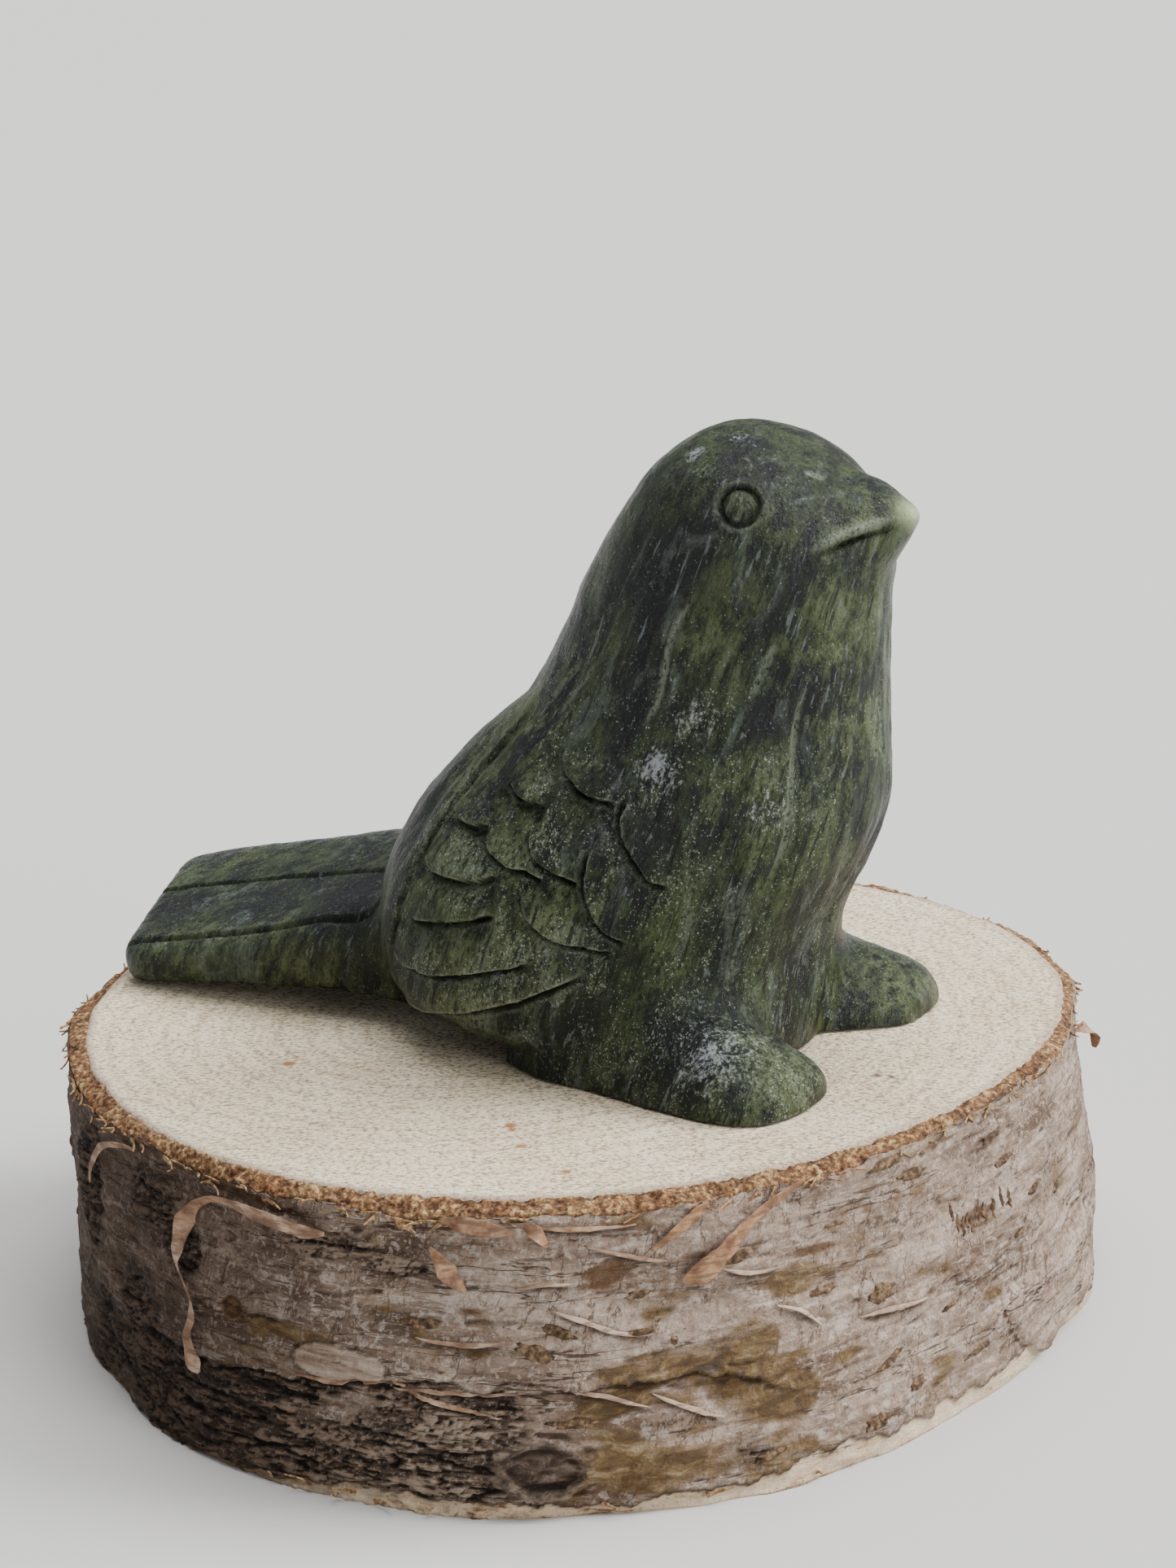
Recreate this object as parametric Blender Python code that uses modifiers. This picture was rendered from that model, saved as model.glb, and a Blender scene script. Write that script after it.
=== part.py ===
# Bird carved from one block of green serpentine, standing on a slice of birch trunk.
# Metres, +Z up. The beak points along -Y, the tail along +Y, and the bird's left is +X.
# The origin is the centre of the slice's underside. The two pieces only rest on each other.

import math

import bmesh
import bpy
import numpy as np

# Driving dimensions of the birch slice
SLICE_DIAMETER = 0.1214       # mean, at the foot, bark included
SLICE_THICKNESS = 0.0319
TOP_TAPER = 0.0011            # how much less the radius is at the sawn face than at the foot
SLICE_LEAN = 0.0052           # how far the slanting cuts set the foot off from the sawn face
LEAN_DIRECTION = math.radians(-152)
BARK_THICKNESS = 0.0026
BARK_RIM_DROP = 0.0011        # the torn rim of the bark ends this far below the sawn face
BARK_SWELL = 0.0007           # height of the lumps in the bark

KNOT_HEIGHT = 0.0011

# Driving dimensions of the bird
BIRD_HEIGHT = 0.0715          # every proportion of the carving is a share of this
BIRD_SHIFT_X = -0.0020        # how far it stands to one side of the slice's middle
REST_GAP = 0.0003             # between the flat underside and the sawn face
EYE_DIAMETER = 0.0036
EYE_GROOVE_WIDTH = 0.0011
EYE_GROOVE_DEPTH = 0.0006
EYE_BULGE = 0.0004
MOUTH_DEPTH = 0.0008
MOUTH_WIDTH = 0.0014
FEATHER_CUT_DEPTH = 0.0010
FEATHER_CUT_WIDTH = 0.0024    # the cut is deepest at the feather's edge and runs out over this
FEATHER_EDGE_ROUND = 0.0008
FEATHER_SWELL = 0.0003        # how far a feather stands up along its edge
TAIL_THICKNESS = 0.0060
TAIL_GROOVE_DEPTH = 0.0008
TAIL_GROOVE_WIDTH = 0.0020

# How finely the stone is made
BLANK_VOXEL = 0.0006
SOFTENING_STEPS = 14
BIRD_TRIANGLES = 8200

SERPENTINE = ("serpentine", (0.060, 0.085, 0.052), 0.42)
BIRCH_WOOD = ("birch_wood", (0.72, 0.65, 0.53), 0.80)
BIRCH_BARK = ("birch_bark", (0.46, 0.39, 0.34), 0.85)


def clear_scene():
    for old in list(bpy.data.objects):
        bpy.data.objects.remove(old, do_unlink=True)


def finish_material(finish):
    name, colour, roughness = finish
    material = bpy.data.materials.new(name)
    material.use_nodes = True
    shader = material.node_tree.nodes["Principled BSDF"]
    shader.inputs["Base Color"].default_value = (*colour, 1.0)
    shader.inputs["Roughness"].default_value = roughness
    shader.inputs["Metallic"].default_value = 0.0
    return material


def add_object(name, mesh, collection):
    made = bpy.data.objects.new(name, mesh)
    collection.objects.link(made)
    return made


def loft(rings):
    """A closed form through rings of equal point count, capped at both ends by a fan."""
    form = bmesh.new()
    loops = [[form.verts.new(point) for point in ring] for ring in rings]
    count = len(loops[0])
    for low, high in zip(loops, loops[1:]):
        for i in range(count):
            j = (i + 1) % count
            form.faces.new((low[i], low[j], high[j], high[i]))
    for ring in (loops[0], loops[-1]):
        middle = form.verts.new(np.mean([v.co for v in ring], axis=0))
        for i in range(count):
            form.faces.new((ring[i], ring[(i + 1) % count], middle))
    bmesh.ops.recalc_face_normals(form, faces=form.faces)
    return form


def smooth_rows(rows, count):
    """The rows of numbers read at evenly spaced places along a smooth curve through them."""
    rows = np.array(rows, float)
    at = np.linspace(0, len(rows) - 1, count)
    low = np.clip(at.astype(int), 0, len(rows) - 2)
    share = (at - low)[:, None]
    before = rows[np.maximum(low - 1, 0)]
    start, end = rows[low], rows[low + 1]
    after = rows[np.minimum(low + 2, len(rows) - 1)]
    return 0.5 * (
        2 * start
        + (end - before) * share
        + (2 * before - 5 * start + 4 * end - after) * share**2
        + (3 * start - before - 3 * end + after) * share**3
    )


def oval(half_width, half_low, half_high, power, count=40):
    """A rounded outline whose lower and upper half have their own half heights."""
    turn = np.linspace(0, 2 * math.pi, count, endpoint=False)
    c, s = np.cos(turn), np.sin(turn)
    across = half_width * np.sign(c) * np.abs(c) ** (2 / power)
    up = np.where(s < 0, half_low, half_high) * np.sign(s) * np.abs(s) ** (2 / power)
    return across, up


# The bird's own frame: X to its left, Y from the toes back to the tail, Z up from its seat.
# Its forms are rows of shares of BIRD_HEIGHT.

# Torso and head, level sections from the seat up:
# height, front behind the toes, back behind the toes, half width, roundness
TORSO = (
    (-0.060, 0.120, 0.560, 0.250, 2.6),
    (0.000, 0.110, 0.640, 0.280, 2.8),
    (0.040, 0.105, 0.765, 0.304, 3.0),
    (0.090, 0.110, 0.824, 0.318, 2.8),
    (0.180, 0.103, 0.838, 0.328, 2.4),
    (0.275, 0.053, 0.829, 0.330, 2.2),
    (0.360, 0.012, 0.784, 0.316, 2.1),
    (0.420, -0.004, 0.735, 0.300, 2.1),
    (0.474, -0.006, 0.684, 0.282, 2.0),
    (0.525, -0.006, 0.624, 0.262, 2.0),
    (0.571, -0.007, 0.572, 0.245, 2.0),
    (0.682, -0.016, 0.508, 0.215, 2.0),
    (0.740, -0.026, 0.482, 0.206, 2.0),
    (0.790, -0.038, 0.454, 0.200, 2.0),
    (0.860, -0.010, 0.410, 0.186, 2.0),
    (0.925, 0.034, 0.360, 0.160, 2.0),
    (0.966, 0.090, 0.312, 0.120, 2.0),
    (0.991, 0.153, 0.264, 0.064, 2.0),
    (1.000, 0.193, 0.232, 0.016, 2.0),
)
# Tail, upright sections from inside the body to its end: distance behind the toes,
# middle to the left, half width, top above the seat, thickness / TAIL_THICKNESS, tilt in degrees
TAIL = (
    (0.600, 0.010, 0.150, 0.225, 1.70, 14),
    (0.760, 0.012, 0.170, 0.240, 1.70, 14),
    (0.900, 0.018, 0.186, 0.213, 1.62, 14),
    (1.080, 0.030, 0.196, 0.166, 1.34, 12),
    (1.260, 0.041, 0.202, 0.122, 1.02, 10),
    (1.356, 0.045, 0.196, 0.098, 0.92, 9),
    (1.388, 0.046, 0.155, 0.088, 0.70, 9),
)
TAIL_SLANT = 0.27             # how much further back the tail's end is on the left, run over width
# A foot, upright sections from the ankle to the toe:
# distance behind the toe, middle to the outside, half width, top above the seat
FOOT = (
    (0.540, 0.150, 0.100, 0.060),
    (0.450, 0.175, 0.135, 0.180),
    (0.340, 0.198, 0.142, 0.210),
    (0.220, 0.213, 0.139, 0.165),
    (0.120, 0.221, 0.124, 0.120),
    (0.050, 0.225, 0.094, 0.085),
    (0.014, 0.227, 0.056, 0.058),
    (0.004, 0.227, 0.018, 0.030),
)
# The beak, upright sections from inside the head to the tip:
# distance ahead of the toes, half width, top, bottom
BEAK = (
    (-0.200, 0.150, 0.935, 0.745),
    (-0.090, 0.128, 0.935, 0.755),
    (-0.010, 0.094, 0.924, 0.785),
    (0.030, 0.062, 0.912, 0.815),
    (0.058, 0.033, 0.896, 0.842),
    (0.070, 0.012, 0.880, 0.862),
)
STAND_BACK = 0.572            # the toes' distance in front of the slice's middle

# Lower edges of the wing's feathers, seen from the side: points (behind the toes, above the seat),
# from the rear end of each edge to its front end. The cut lies on the edge's lower and rear side.
SHORT_FEATHERS = (
    ((0.622, 0.408), (0.600, 0.395), (0.568, 0.392), (0.530, 0.400)),
    ((0.502, 0.464), (0.487, 0.448), (0.458, 0.443), (0.425, 0.442)),
    ((0.418, 0.526), (0.404, 0.499), (0.387, 0.481), (0.359, 0.465), (0.305, 0.456)),
    ((0.288, 0.462), (0.297, 0.437), (0.291, 0.405), (0.272, 0.373), (0.250, 0.343), (0.220, 0.333)),
    ((0.532, 0.382), (0.517, 0.358), (0.487, 0.345), (0.450, 0.342), (0.420, 0.329)),
    ((0.450, 0.404), (0.439, 0.372), (0.416, 0.351), (0.389, 0.341), (0.360, 0.330)),
    ((0.340, 0.388), (0.349, 0.354), (0.348, 0.320), (0.337, 0.287), (0.318, 0.260), (0.284, 0.240)),
    ((0.458, 0.314), (0.451, 0.284), (0.429, 0.256), (0.389, 0.236), (0.350, 0.230), (0.305, 0.223)),
)
LONG_FEATHERS = (
    ((0.662, 0.336), (0.643, 0.314), (0.593, 0.309), (0.547, 0.314), (0.505, 0.330)),
    ((0.700, 0.246), (0.678, 0.233), (0.623, 0.236), (0.556, 0.252), (0.500, 0.270)),
    ((0.724, 0.164), (0.689, 0.150), (0.609, 0.152), (0.517, 0.174), (0.430, 0.200)),
    ((0.724, 0.088), (0.680, 0.074), (0.595, 0.089), (0.492, 0.121), (0.421, 0.153), (0.345, 0.192)),
)
# The wing's upper edge against the back, seen from the side, from its shoulder to its end
WING_RIDGE = ((0.560, 0.520), (0.592, 0.470), (0.627, 0.407), (0.663, 0.336), (0.700, 0.250), (0.730, 0.160))
RIDGE_CUT = 0.45              # depth of the cut behind this edge / FEATHER_CUT_DEPTH
# The mouth, seen from the side, from its corner to just short of the beak's tip
MOUTH = ((0.022, 0.826), (-0.012, 0.838), (-0.050, 0.855))
# The eye's middle: to the side, behind the toes, above the seat
EYE = (0.164, 0.146, 0.898)
# The tail's two grooves, seen from above: points (to the left, behind the toes)
TAIL_GROOVES = (
    ((-0.134, 0.850), (-0.130, 1.090), (-0.122, 1.390)),
    ((0.078, 0.880), (0.084, 1.120), (0.090, 1.400)),
)


def torso_form():
    rings = []
    for height, front, back, half, power in smooth_rows(TORSO, 64):
        x, y = oval(half, 0.5 * (back - front), 0.5 * (back - front), power)
        y = y + 0.5 * (front + back)
        rings.append(BIRD_HEIGHT * np.stack([x, y, np.full_like(x, height)], axis=-1))
    return loft(rings)


def tail_form():
    rings = []
    for back, middle, half, top, thick, tilt in smooth_rows(TAIL, 26):
        half_z = 0.5 * thick * TAIL_THICKNESS / BIRD_HEIGHT
        across, up = oval(half, half_z, half_z, 3.4)
        c, s = math.cos(math.radians(tilt)), math.sin(math.radians(tilt))
        x = middle + across * c - up * s
        z = top - half_z + across * s + up * c
        settle = np.clip((back - 0.9) / 0.5, 0, 1)
        y = back + TAIL_SLANT * settle * across
        rings.append(BIRD_HEIGHT * np.stack([x, y, z], axis=-1))
    return loft(rings)


def foot_form(side):
    rings = []
    for back, middle, half, top in smooth_rows(FOOT, 24):
        across, up = oval(half, top, top, 2.1)
        x = side * middle + across
        rings.append(BIRD_HEIGHT * np.stack([x, np.full_like(x, back), up], axis=-1))
    return loft(rings)


def beak_form():
    rings = []
    for ahead, half, top, bottom in smooth_rows(BEAK, 22):
        across, up = oval(half, 0.5 * (top - bottom), 0.5 * (top - bottom), 2.0, 28)
        up = up + 0.5 * (top + bottom)
        rings.append(BIRD_HEIGHT * np.stack([across, np.full_like(across, -ahead), up], axis=-1))
    return loft(rings)


def bird_blank(collection):
    """The uncarved bird: its forms fused into one skin, with the joints between them softened."""
    everything = bmesh.new()
    for form in (torso_form(), tail_form(), foot_form(-1), foot_form(1), beak_form()):
        single = bpy.data.meshes.new("form")
        form.to_mesh(single)
        form.free()
        everything.from_mesh(single)
        bpy.data.meshes.remove(single)
    mesh = bpy.data.meshes.new("bird_forms")
    everything.to_mesh(mesh)
    everything.free()
    blank = add_object("bird_blank", mesh, collection)
    fuse = blank.modifiers.new("one_block", "REMESH")
    fuse.mode = "VOXEL"
    fuse.voxel_size = BLANK_VOXEL
    soften = blank.modifiers.new("soften", "SMOOTH")
    soften.factor = 0.5
    soften.iterations = SOFTENING_STEPS
    skin = bpy.data.meshes.new_from_object(
        blank.evaluated_get(bpy.context.evaluated_depsgraph_get())
    )
    bpy.data.objects.remove(blank, do_unlink=True)
    return skin


def along_curve(points, curve, reach):
    """How points lie to a curve in the plane, within a reach of it: which points those are, their
    distance (positive on the curve's left) and how far along it they are, from 0 to 1."""
    curve = smooth_rows(curve, 8 * len(curve))
    near = np.all((points > curve.min(axis=0) - reach) & (points < curve.max(axis=0) + reach), axis=1)
    which = np.where(near)[0]
    start, step = curve[:-1], np.diff(curve, axis=0)
    offset = points[which, None] - start
    share = np.clip((offset * step).sum(-1) / (step**2).sum(-1), 0, 1)
    gap = offset - share[..., None] * step
    length = np.linalg.norm(gap, axis=-1)
    best = length.argmin(axis=1)
    pick = np.arange(len(which)), best
    side = np.sign(step[best, 0] * gap[pick][:, 1] - step[best, 1] * gap[pick][:, 0])
    return which, side * length[pick], (best + share[pick]) / len(step)


def fade_ends(along, share):
    """1 along a curve, falling smoothly to 0 at its two ends over the given share of its length."""
    ends = np.clip(np.minimum(along, 1 - along) / share, 0, 1)
    return ends * ends * (3 - 2 * ends)


def feather_cuts(seen, side_on):
    """The wing's relief at points seen from the side: a cut outside each feather's edge, deepest at
    the edge, and a slight swell of the feather above it."""
    relief = np.zeros(len(seen))
    cuts = [(edge, 1.0) for edge in SHORT_FEATHERS + LONG_FEATHERS]
    cuts.append((WING_RIDGE[::-1], RIDGE_CUT))
    for edge, strength in cuts:
        reach = 2 * FEATHER_CUT_WIDTH
        which, gap, along = along_curve(seen, BIRD_HEIGHT * np.array(edge), reach)
        outside = np.clip(1 - gap / FEATHER_CUT_WIDTH, 0, 1) ** 1.5
        inside = np.clip(1 + gap / FEATHER_EDGE_ROUND, 0, 1) ** 2
        cut = -strength * FEATHER_CUT_DEPTH * np.where(gap > 0, outside, inside)
        swell = np.where(gap > 0, 0, FEATHER_SWELL * np.exp(-((gap / FEATHER_CUT_WIDTH) ** 2)))
        relief[which] += (cut + strength * swell) * fade_ends(along, 0.16)
    return relief * side_on


def groove(points, curve, width, depth, end_share):
    """The relief of a round-bottomed groove along a curve in the plane."""
    relief = np.zeros(len(points))
    which, gap, along = along_curve(points, curve, width)
    dip = np.clip(1 - (2 * gap / width) ** 2, 0, 1)
    relief[which] = -depth * dip * fade_ends(along, end_share)
    return relief


def eye_relief(points):
    """A low round ball in a ring-shaped groove, on either side of the head."""
    middle = BIRD_HEIGHT * np.array(EYE)
    mirrored = points * (-1, 1, 1)
    away = np.minimum(
        np.linalg.norm(points - middle, axis=1), np.linalg.norm(mirrored - middle, axis=1)
    )
    ball = np.clip(1 - (2 * away / EYE_DIAMETER) ** 2, 0, 1)
    ring = 0.5 * (EYE_DIAMETER + EYE_GROOVE_WIDTH)
    dip = np.clip(1 - (2 * (away - ring) / EYE_GROOVE_WIDTH) ** 2, 0, 1)
    return EYE_BULGE * ball - EYE_GROOVE_DEPTH * dip


def carving(points, normals):
    """How far the carving moves each point of the blank out along its normal."""
    seen = points[:, 1:3]
    side_on = np.clip(np.abs(points[:, 0]) / (0.10 * BIRD_HEIGHT) - 0.5, 0, 1)
    relief = feather_cuts(seen, side_on)
    relief += groove(seen, BIRD_HEIGHT * np.array(MOUTH), MOUTH_WIDTH, MOUTH_DEPTH, 0.2)
    relief += eye_relief(points)
    upward = np.clip(3 * normals[:, 2] - 0.6, 0, 1)
    for line in TAIL_GROOVES:
        line = BIRD_HEIGHT * np.array(line)
        relief += upward * groove(points[:, :2], line, TAIL_GROOVE_WIDTH, TAIL_GROOVE_DEPTH, 0.06)
    return relief


def make_bird(collection, cutters, middle):
    """The carved bird, standing on its flat underside."""
    skin = bird_blank(collection)
    points = np.empty(3 * len(skin.vertices))
    skin.vertices.foreach_get("co", points)
    points = points.reshape(-1, 3)
    normals = np.array([v.normal for v in skin.vertices])
    points = points + carving(points, normals)[:, None] * normals
    skin.vertices.foreach_set("co", points.ravel())
    skin.update()
    skin.name = "serpentine_bird"
    bird = add_object("serpentine_bird", skin, collection)
    bird.location = (
        middle[0] + BIRD_SHIFT_X, middle[1] - STAND_BACK * BIRD_HEIGHT, SLICE_THICKNESS + REST_GAP
    )
    skin.materials.append(finish_material(SERPENTINE))
    facets = bird.modifiers.new("facets", "DECIMATE")
    facets.ratio = BIRD_TRIANGLES / sum(len(face.vertices) - 2 for face in skin.polygons)
    seat = bmesh.new()
    bmesh.ops.create_cube(seat, size=4 * BIRD_HEIGHT)
    bmesh.ops.translate(seat, verts=seat.verts, vec=(0, 0, -2 * BIRD_HEIGHT))
    below = bpy.data.meshes.new("below_seat")
    seat.to_mesh(below)
    seat.free()
    cutter = add_object("below_seat", below, cutters)
    cutter.location = bird.location
    cutter.hide_render = True
    cutter.display_type = "WIRE"
    flat = bird.modifiers.new("flat_underside", "BOOLEAN")
    flat.object = cutter
    flat.operation = "DIFFERENCE"
    flat.solver = "EXACT"
    return bird


# Low swells of the trunk's outline: number of waves round it, share of the radius, direction in degrees
TOP_SWELLS = ((2, 0.012, -10.0), (3, 0.025, 79.0))
FOOT_SWELLS = ((2, 0.010, 36.0), (3, 0.033, 77.0))


def swelling(turn, swells):
    return sum(share * np.cos(waves * (turn - math.radians(at))) for waves, share, at in swells)


def slice_radius(turn, level):
    """The bark's outer radius by direction, and by level from 0 at the foot to 1 at the sawn face."""
    mean = 0.5 * SLICE_DIAMETER - TOP_TAPER * level
    return mean * (1 + swelling(turn, FOOT_SWELLS) * (1 - level) + swelling(turn, TOP_SWELLS) * level)


# The knot in the bark: direction in degrees, level from foot to sawn face, half width, half height
KNOT = (-157.0, 0.17, 0.0048, 0.0028)


def bark_relief(turn, level):
    """Long low lumps round the trunk, and the knot."""
    lumps = (
        np.sin(5 * turn + 2.1 * level + 0.4)
        + 0.8 * np.sin(11 * turn - 3.4 * level + 1.9)
        + 0.7 * np.sin(3 * turn + 6.3 * level + 2.6)
        + 0.6 * np.sin(17 * turn + 7.9 * level + 5.0)
    )
    direction, middle, half_width, half_height = KNOT
    across = (turn - math.radians(direction) + math.pi) % (2 * math.pi) - math.pi
    across = across * 0.5 * SLICE_DIAMETER / half_width
    up = (level - middle) * SLICE_THICKNESS / half_height
    knot = np.exp(-0.8 * (across**2 + up**2) ** 2)
    return 0.4 * BARK_SWELL * lumps + KNOT_HEIGHT * knot


def slice_ring(turn, radius, height, level):
    lean = SLICE_LEAN * (0.5 - level)
    x = radius * np.cos(turn) + lean * math.cos(LEAN_DIRECTION)
    y = radius * np.sin(turn) + lean * math.sin(LEAN_DIRECTION)
    return np.stack([x, y, np.full_like(x, height)], axis=-1)


def make_slice(collection):
    """The slice of trunk with its bark. Returns the middle of its sawn face."""
    turn = np.linspace(0, 2 * math.pi, 108, endpoint=False)
    rings = []
    rim = 1 - BARK_RIM_DROP / SLICE_THICKNESS
    for level in np.concatenate([np.linspace(0, 0.9, 10), [rim]]):
        radius = slice_radius(turn, level) + bark_relief(turn, level)
        rings.append(slice_ring(turn, radius, level * SLICE_THICKNESS, level))
    bark_faces = len(rings) * len(turn)
    wood = slice_radius(turn, 1.0) - BARK_THICKNESS
    rings.append(slice_ring(turn, wood, SLICE_THICKNESS, 1.0))
    rings = np.array(rings)
    low, high = rings.min(axis=(0, 1)), rings.max(axis=(0, 1))
    centre = 0.5 * (low + high) * (1, 1, 0)
    form = loft(rings - centre)
    mesh = bpy.data.meshes.new("birch_slice")
    form.to_mesh(mesh)
    form.free()
    mesh.materials.append(finish_material(BIRCH_WOOD))
    mesh.materials.append(finish_material(BIRCH_BARK))
    for face in mesh.polygons:
        face.material_index = 1 if face.index < bark_faces else 0
    add_object("birch_slice", mesh, collection)
    return slice_ring(np.zeros(1), np.zeros(1), SLICE_THICKNESS, 1.0)[0] - centre


def main():
    clear_scene()
    collection = bpy.data.collections.new("serpentine_bird_carving")
    bpy.context.scene.collection.children.link(collection)
    cutters = bpy.data.collections.new("cutters")
    bpy.context.scene.collection.children.link(cutters)
    middle = make_slice(collection)
    make_bird(collection, cutters, middle)


main()
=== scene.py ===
# %% [markdown]
# # A stone bird on a slice of birch
#
# The object is a small bird, carved by hand from one block of green serpentine. It stands on a slice
# of birch trunk that still has its bark. The frame holds the two solids at their real size, and this
# lesson gives them their looks: the carving and its fine marks, the clouded stone, the sanded wood,
# and the torn and peeling bark.

import math

import bpy
import numpy as np
from mathutils import Matrix, Vector


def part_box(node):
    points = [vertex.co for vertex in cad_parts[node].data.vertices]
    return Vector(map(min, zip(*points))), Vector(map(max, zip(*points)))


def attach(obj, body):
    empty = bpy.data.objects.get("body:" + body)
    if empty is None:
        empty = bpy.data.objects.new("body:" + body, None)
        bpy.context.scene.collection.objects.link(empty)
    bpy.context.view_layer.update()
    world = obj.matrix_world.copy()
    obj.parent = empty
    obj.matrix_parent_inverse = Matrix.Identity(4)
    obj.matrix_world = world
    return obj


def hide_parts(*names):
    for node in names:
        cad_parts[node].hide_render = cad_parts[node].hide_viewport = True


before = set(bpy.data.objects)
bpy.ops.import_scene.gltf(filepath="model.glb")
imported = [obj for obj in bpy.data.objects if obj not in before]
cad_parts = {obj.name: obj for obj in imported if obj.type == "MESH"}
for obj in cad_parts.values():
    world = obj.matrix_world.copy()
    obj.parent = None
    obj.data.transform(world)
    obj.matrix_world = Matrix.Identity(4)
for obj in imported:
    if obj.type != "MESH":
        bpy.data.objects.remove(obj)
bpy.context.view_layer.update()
print("solids in the frame:", sorted(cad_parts))

# %% [markdown]
# ## The camera
#
# The picture was taken from a little above, with a long lens, so that parallel edges hardly converge.
# A camera is a place and three directions: right, up and away. Building the matrix from these three
# keeps the small roll of the hand-held picture, which a track-to constraint would lose.

# %% Camera at the picture's viewing angle
PICTURE_HEIGHT = 1927
FOCAL_PIXELS = 4500.0
SENSOR_MM = 36.0
CAMERA_PITCH = math.radians(15.5)
CAMERA_ROLL = math.radians(-2.0)
CAMERA_TURN = math.radians(-62.0)
CAMERA_DISTANCE = 0.4255
AIM = Vector((0.00508, -0.00267, 0.05925))

turned = Matrix.Rotation(CAMERA_TURN, 3, "Z")
away = turned @ Vector((0, math.cos(CAMERA_PITCH), -math.sin(CAMERA_PITCH)))
level_right = turned @ Vector((1, 0, 0))
level_up = level_right.cross(away)
right = math.cos(CAMERA_ROLL) * level_right + math.sin(CAMERA_ROLL) * level_up
up = right.cross(away)


def add_object(name, data):
    """A new object in the scene that shows the given mesh, lamp or camera."""
    made = bpy.data.objects.new(name, data)
    bpy.context.scene.collection.objects.link(made)
    return made


camera = add_object("camera", bpy.data.cameras.new("camera"))
camera.data.lens = FOCAL_PIXELS / PICTURE_HEIGHT * SENSOR_MM
camera.data.sensor_width = SENSOR_MM
camera.data.clip_start = 0.01
pose = Matrix.Translation(AIM - CAMERA_DISTANCE * away)
camera.matrix_world = pose @ Matrix((right, up, -away)).transposed().to_4x4()
bpy.context.scene.camera = camera
print("camera stands at", [round(v, 4) for v in camera.matrix_world.translation])

# %% [markdown]
# ## Floor and light
#
# A pale floor and soft light suit satin stone: light from a wide window on the right gives the broad,
# quiet gleam along the breast, and an overhead light opens the back and the tail. Sun lamps light the
# whole floor evenly, and a wide angle makes their shadows soft. Each lamp is placed by how far it
# stands to the right of, behind and above the object, as the camera sees it.

# %% Floor
FLOOR_SIZE = 12.0


def plain_material(name, colour, roughness):
    """A material with one colour and one roughness, set on the shader's own sockets."""
    material = bpy.data.materials.new(name)
    material.use_nodes = True
    shader = material.node_tree.nodes["Principled BSDF"]
    shader.inputs["Base Color"].default_value = (*colour, 1)
    shader.inputs["Roughness"].default_value = roughness
    return material


half = FLOOR_SIZE / 2
floor_mesh = bpy.data.meshes.new("floor")
corners = [(-half, -half, 0), (half, -half, 0), (half, half, 0), (-half, half, 0)]
floor_mesh.from_pydata(corners, [], [(0, 1, 2, 3)])
floor_mesh.materials.append(plain_material("pale_floor", (0.60, 0.59, 0.57), 0.9))
floor = add_object("floor", floor_mesh)

# %% Lamps and sky
SKY_COLOUR = (0.80, 0.83, 0.88)
SKY_STRENGTH = 0.30
# name: right, behind and above the object, how wide it looks in degrees, strength
LAMPS = {
    "window": (1.30, 0.30, 1.15, 34, 4.3),
    "overhead": (0.10, 0.35, 1.70, 50, 3.1),
    "opening": (1.10, -1.20, 0.60, 30, 1.5),
}

sky = bpy.data.worlds.new("sky")
sky.use_nodes = True
sky.node_tree.nodes["Background"].inputs["Color"].default_value = (*SKY_COLOUR, 1)
sky.node_tree.nodes["Background"].inputs["Strength"].default_value = SKY_STRENGTH
bpy.context.scene.world = sky
level_away = Vector((away.x, away.y, 0)).normalized()
for name, (to_right, behind, above, width, strength) in LAMPS.items():
    lamp = add_object(name, bpy.data.lights.new(name, "SUN"))
    lamp.data.angle = math.radians(width)
    lamp.data.energy = strength
    lamp.location = to_right * level_right + behind * level_away + Vector((0, 0, above))
    lamp.rotation_euler = (-lamp.location).to_track_quat("-Z", "Y").to_euler()
print("lamps:", ", ".join(LAMPS))

# %% [markdown]
# ## Tools: smooth curves, closed skins and random fields
#
# Everything below is worked out with whole arrays. A few rows of numbers are read as a smooth curve. A grid
# of points that closes on itself becomes a skin. A random field gives stone and bark the unevenness that no
# formula has, and the same field comes out on every run.

# %% Smooth curves through a few rows
def smooth_rows(rows, count):
    """The rows read at evenly spaced places along a curve through them: between two rows, a cubic
    whose slope at each row is half the step from the row before to the row after."""
    rows = np.array(rows, float)
    at = np.linspace(0, len(rows) - 1, count)
    low = np.clip(at.astype(int), 0, len(rows) - 2)
    share = (at - low)[:, None]
    before = rows[np.maximum(low - 1, 0)]
    start, end = rows[low], rows[low + 1]
    after = rows[np.minimum(low + 2, len(rows) - 1)]
    return 0.5 * (
        2 * start
        + (end - before) * share
        + (2 * before - 5 * start + 4 * end - after) * share**2
        + (3 * start - before - 3 * end + after) * share**3
    )


def smooth_step(value, low, high):
    """0 below low, 1 above high, and 3t^2 - 2t^3 between them."""
    t = np.clip((value - low) / (high - low), 0, 1)
    return t * t * (3 - 2 * t)


def bell(value, middle, width):
    """1 at the middle, falling off on both sides as exp(-(distance / width)^2)."""
    return np.exp(-(((value - middle) / width) ** 2))


# %% Closed skins from grids of points
def grid_quads(i, j, below, count):
    """The four corners of each cell of a grid: rows i and below, column j and the one after it."""
    after = (j + 1) % count
    corners = [i * count + j, i * count + after, below * count + after, below * count + j]
    return np.stack(corners, axis=-1).reshape(-1, 4).tolist()


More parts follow.
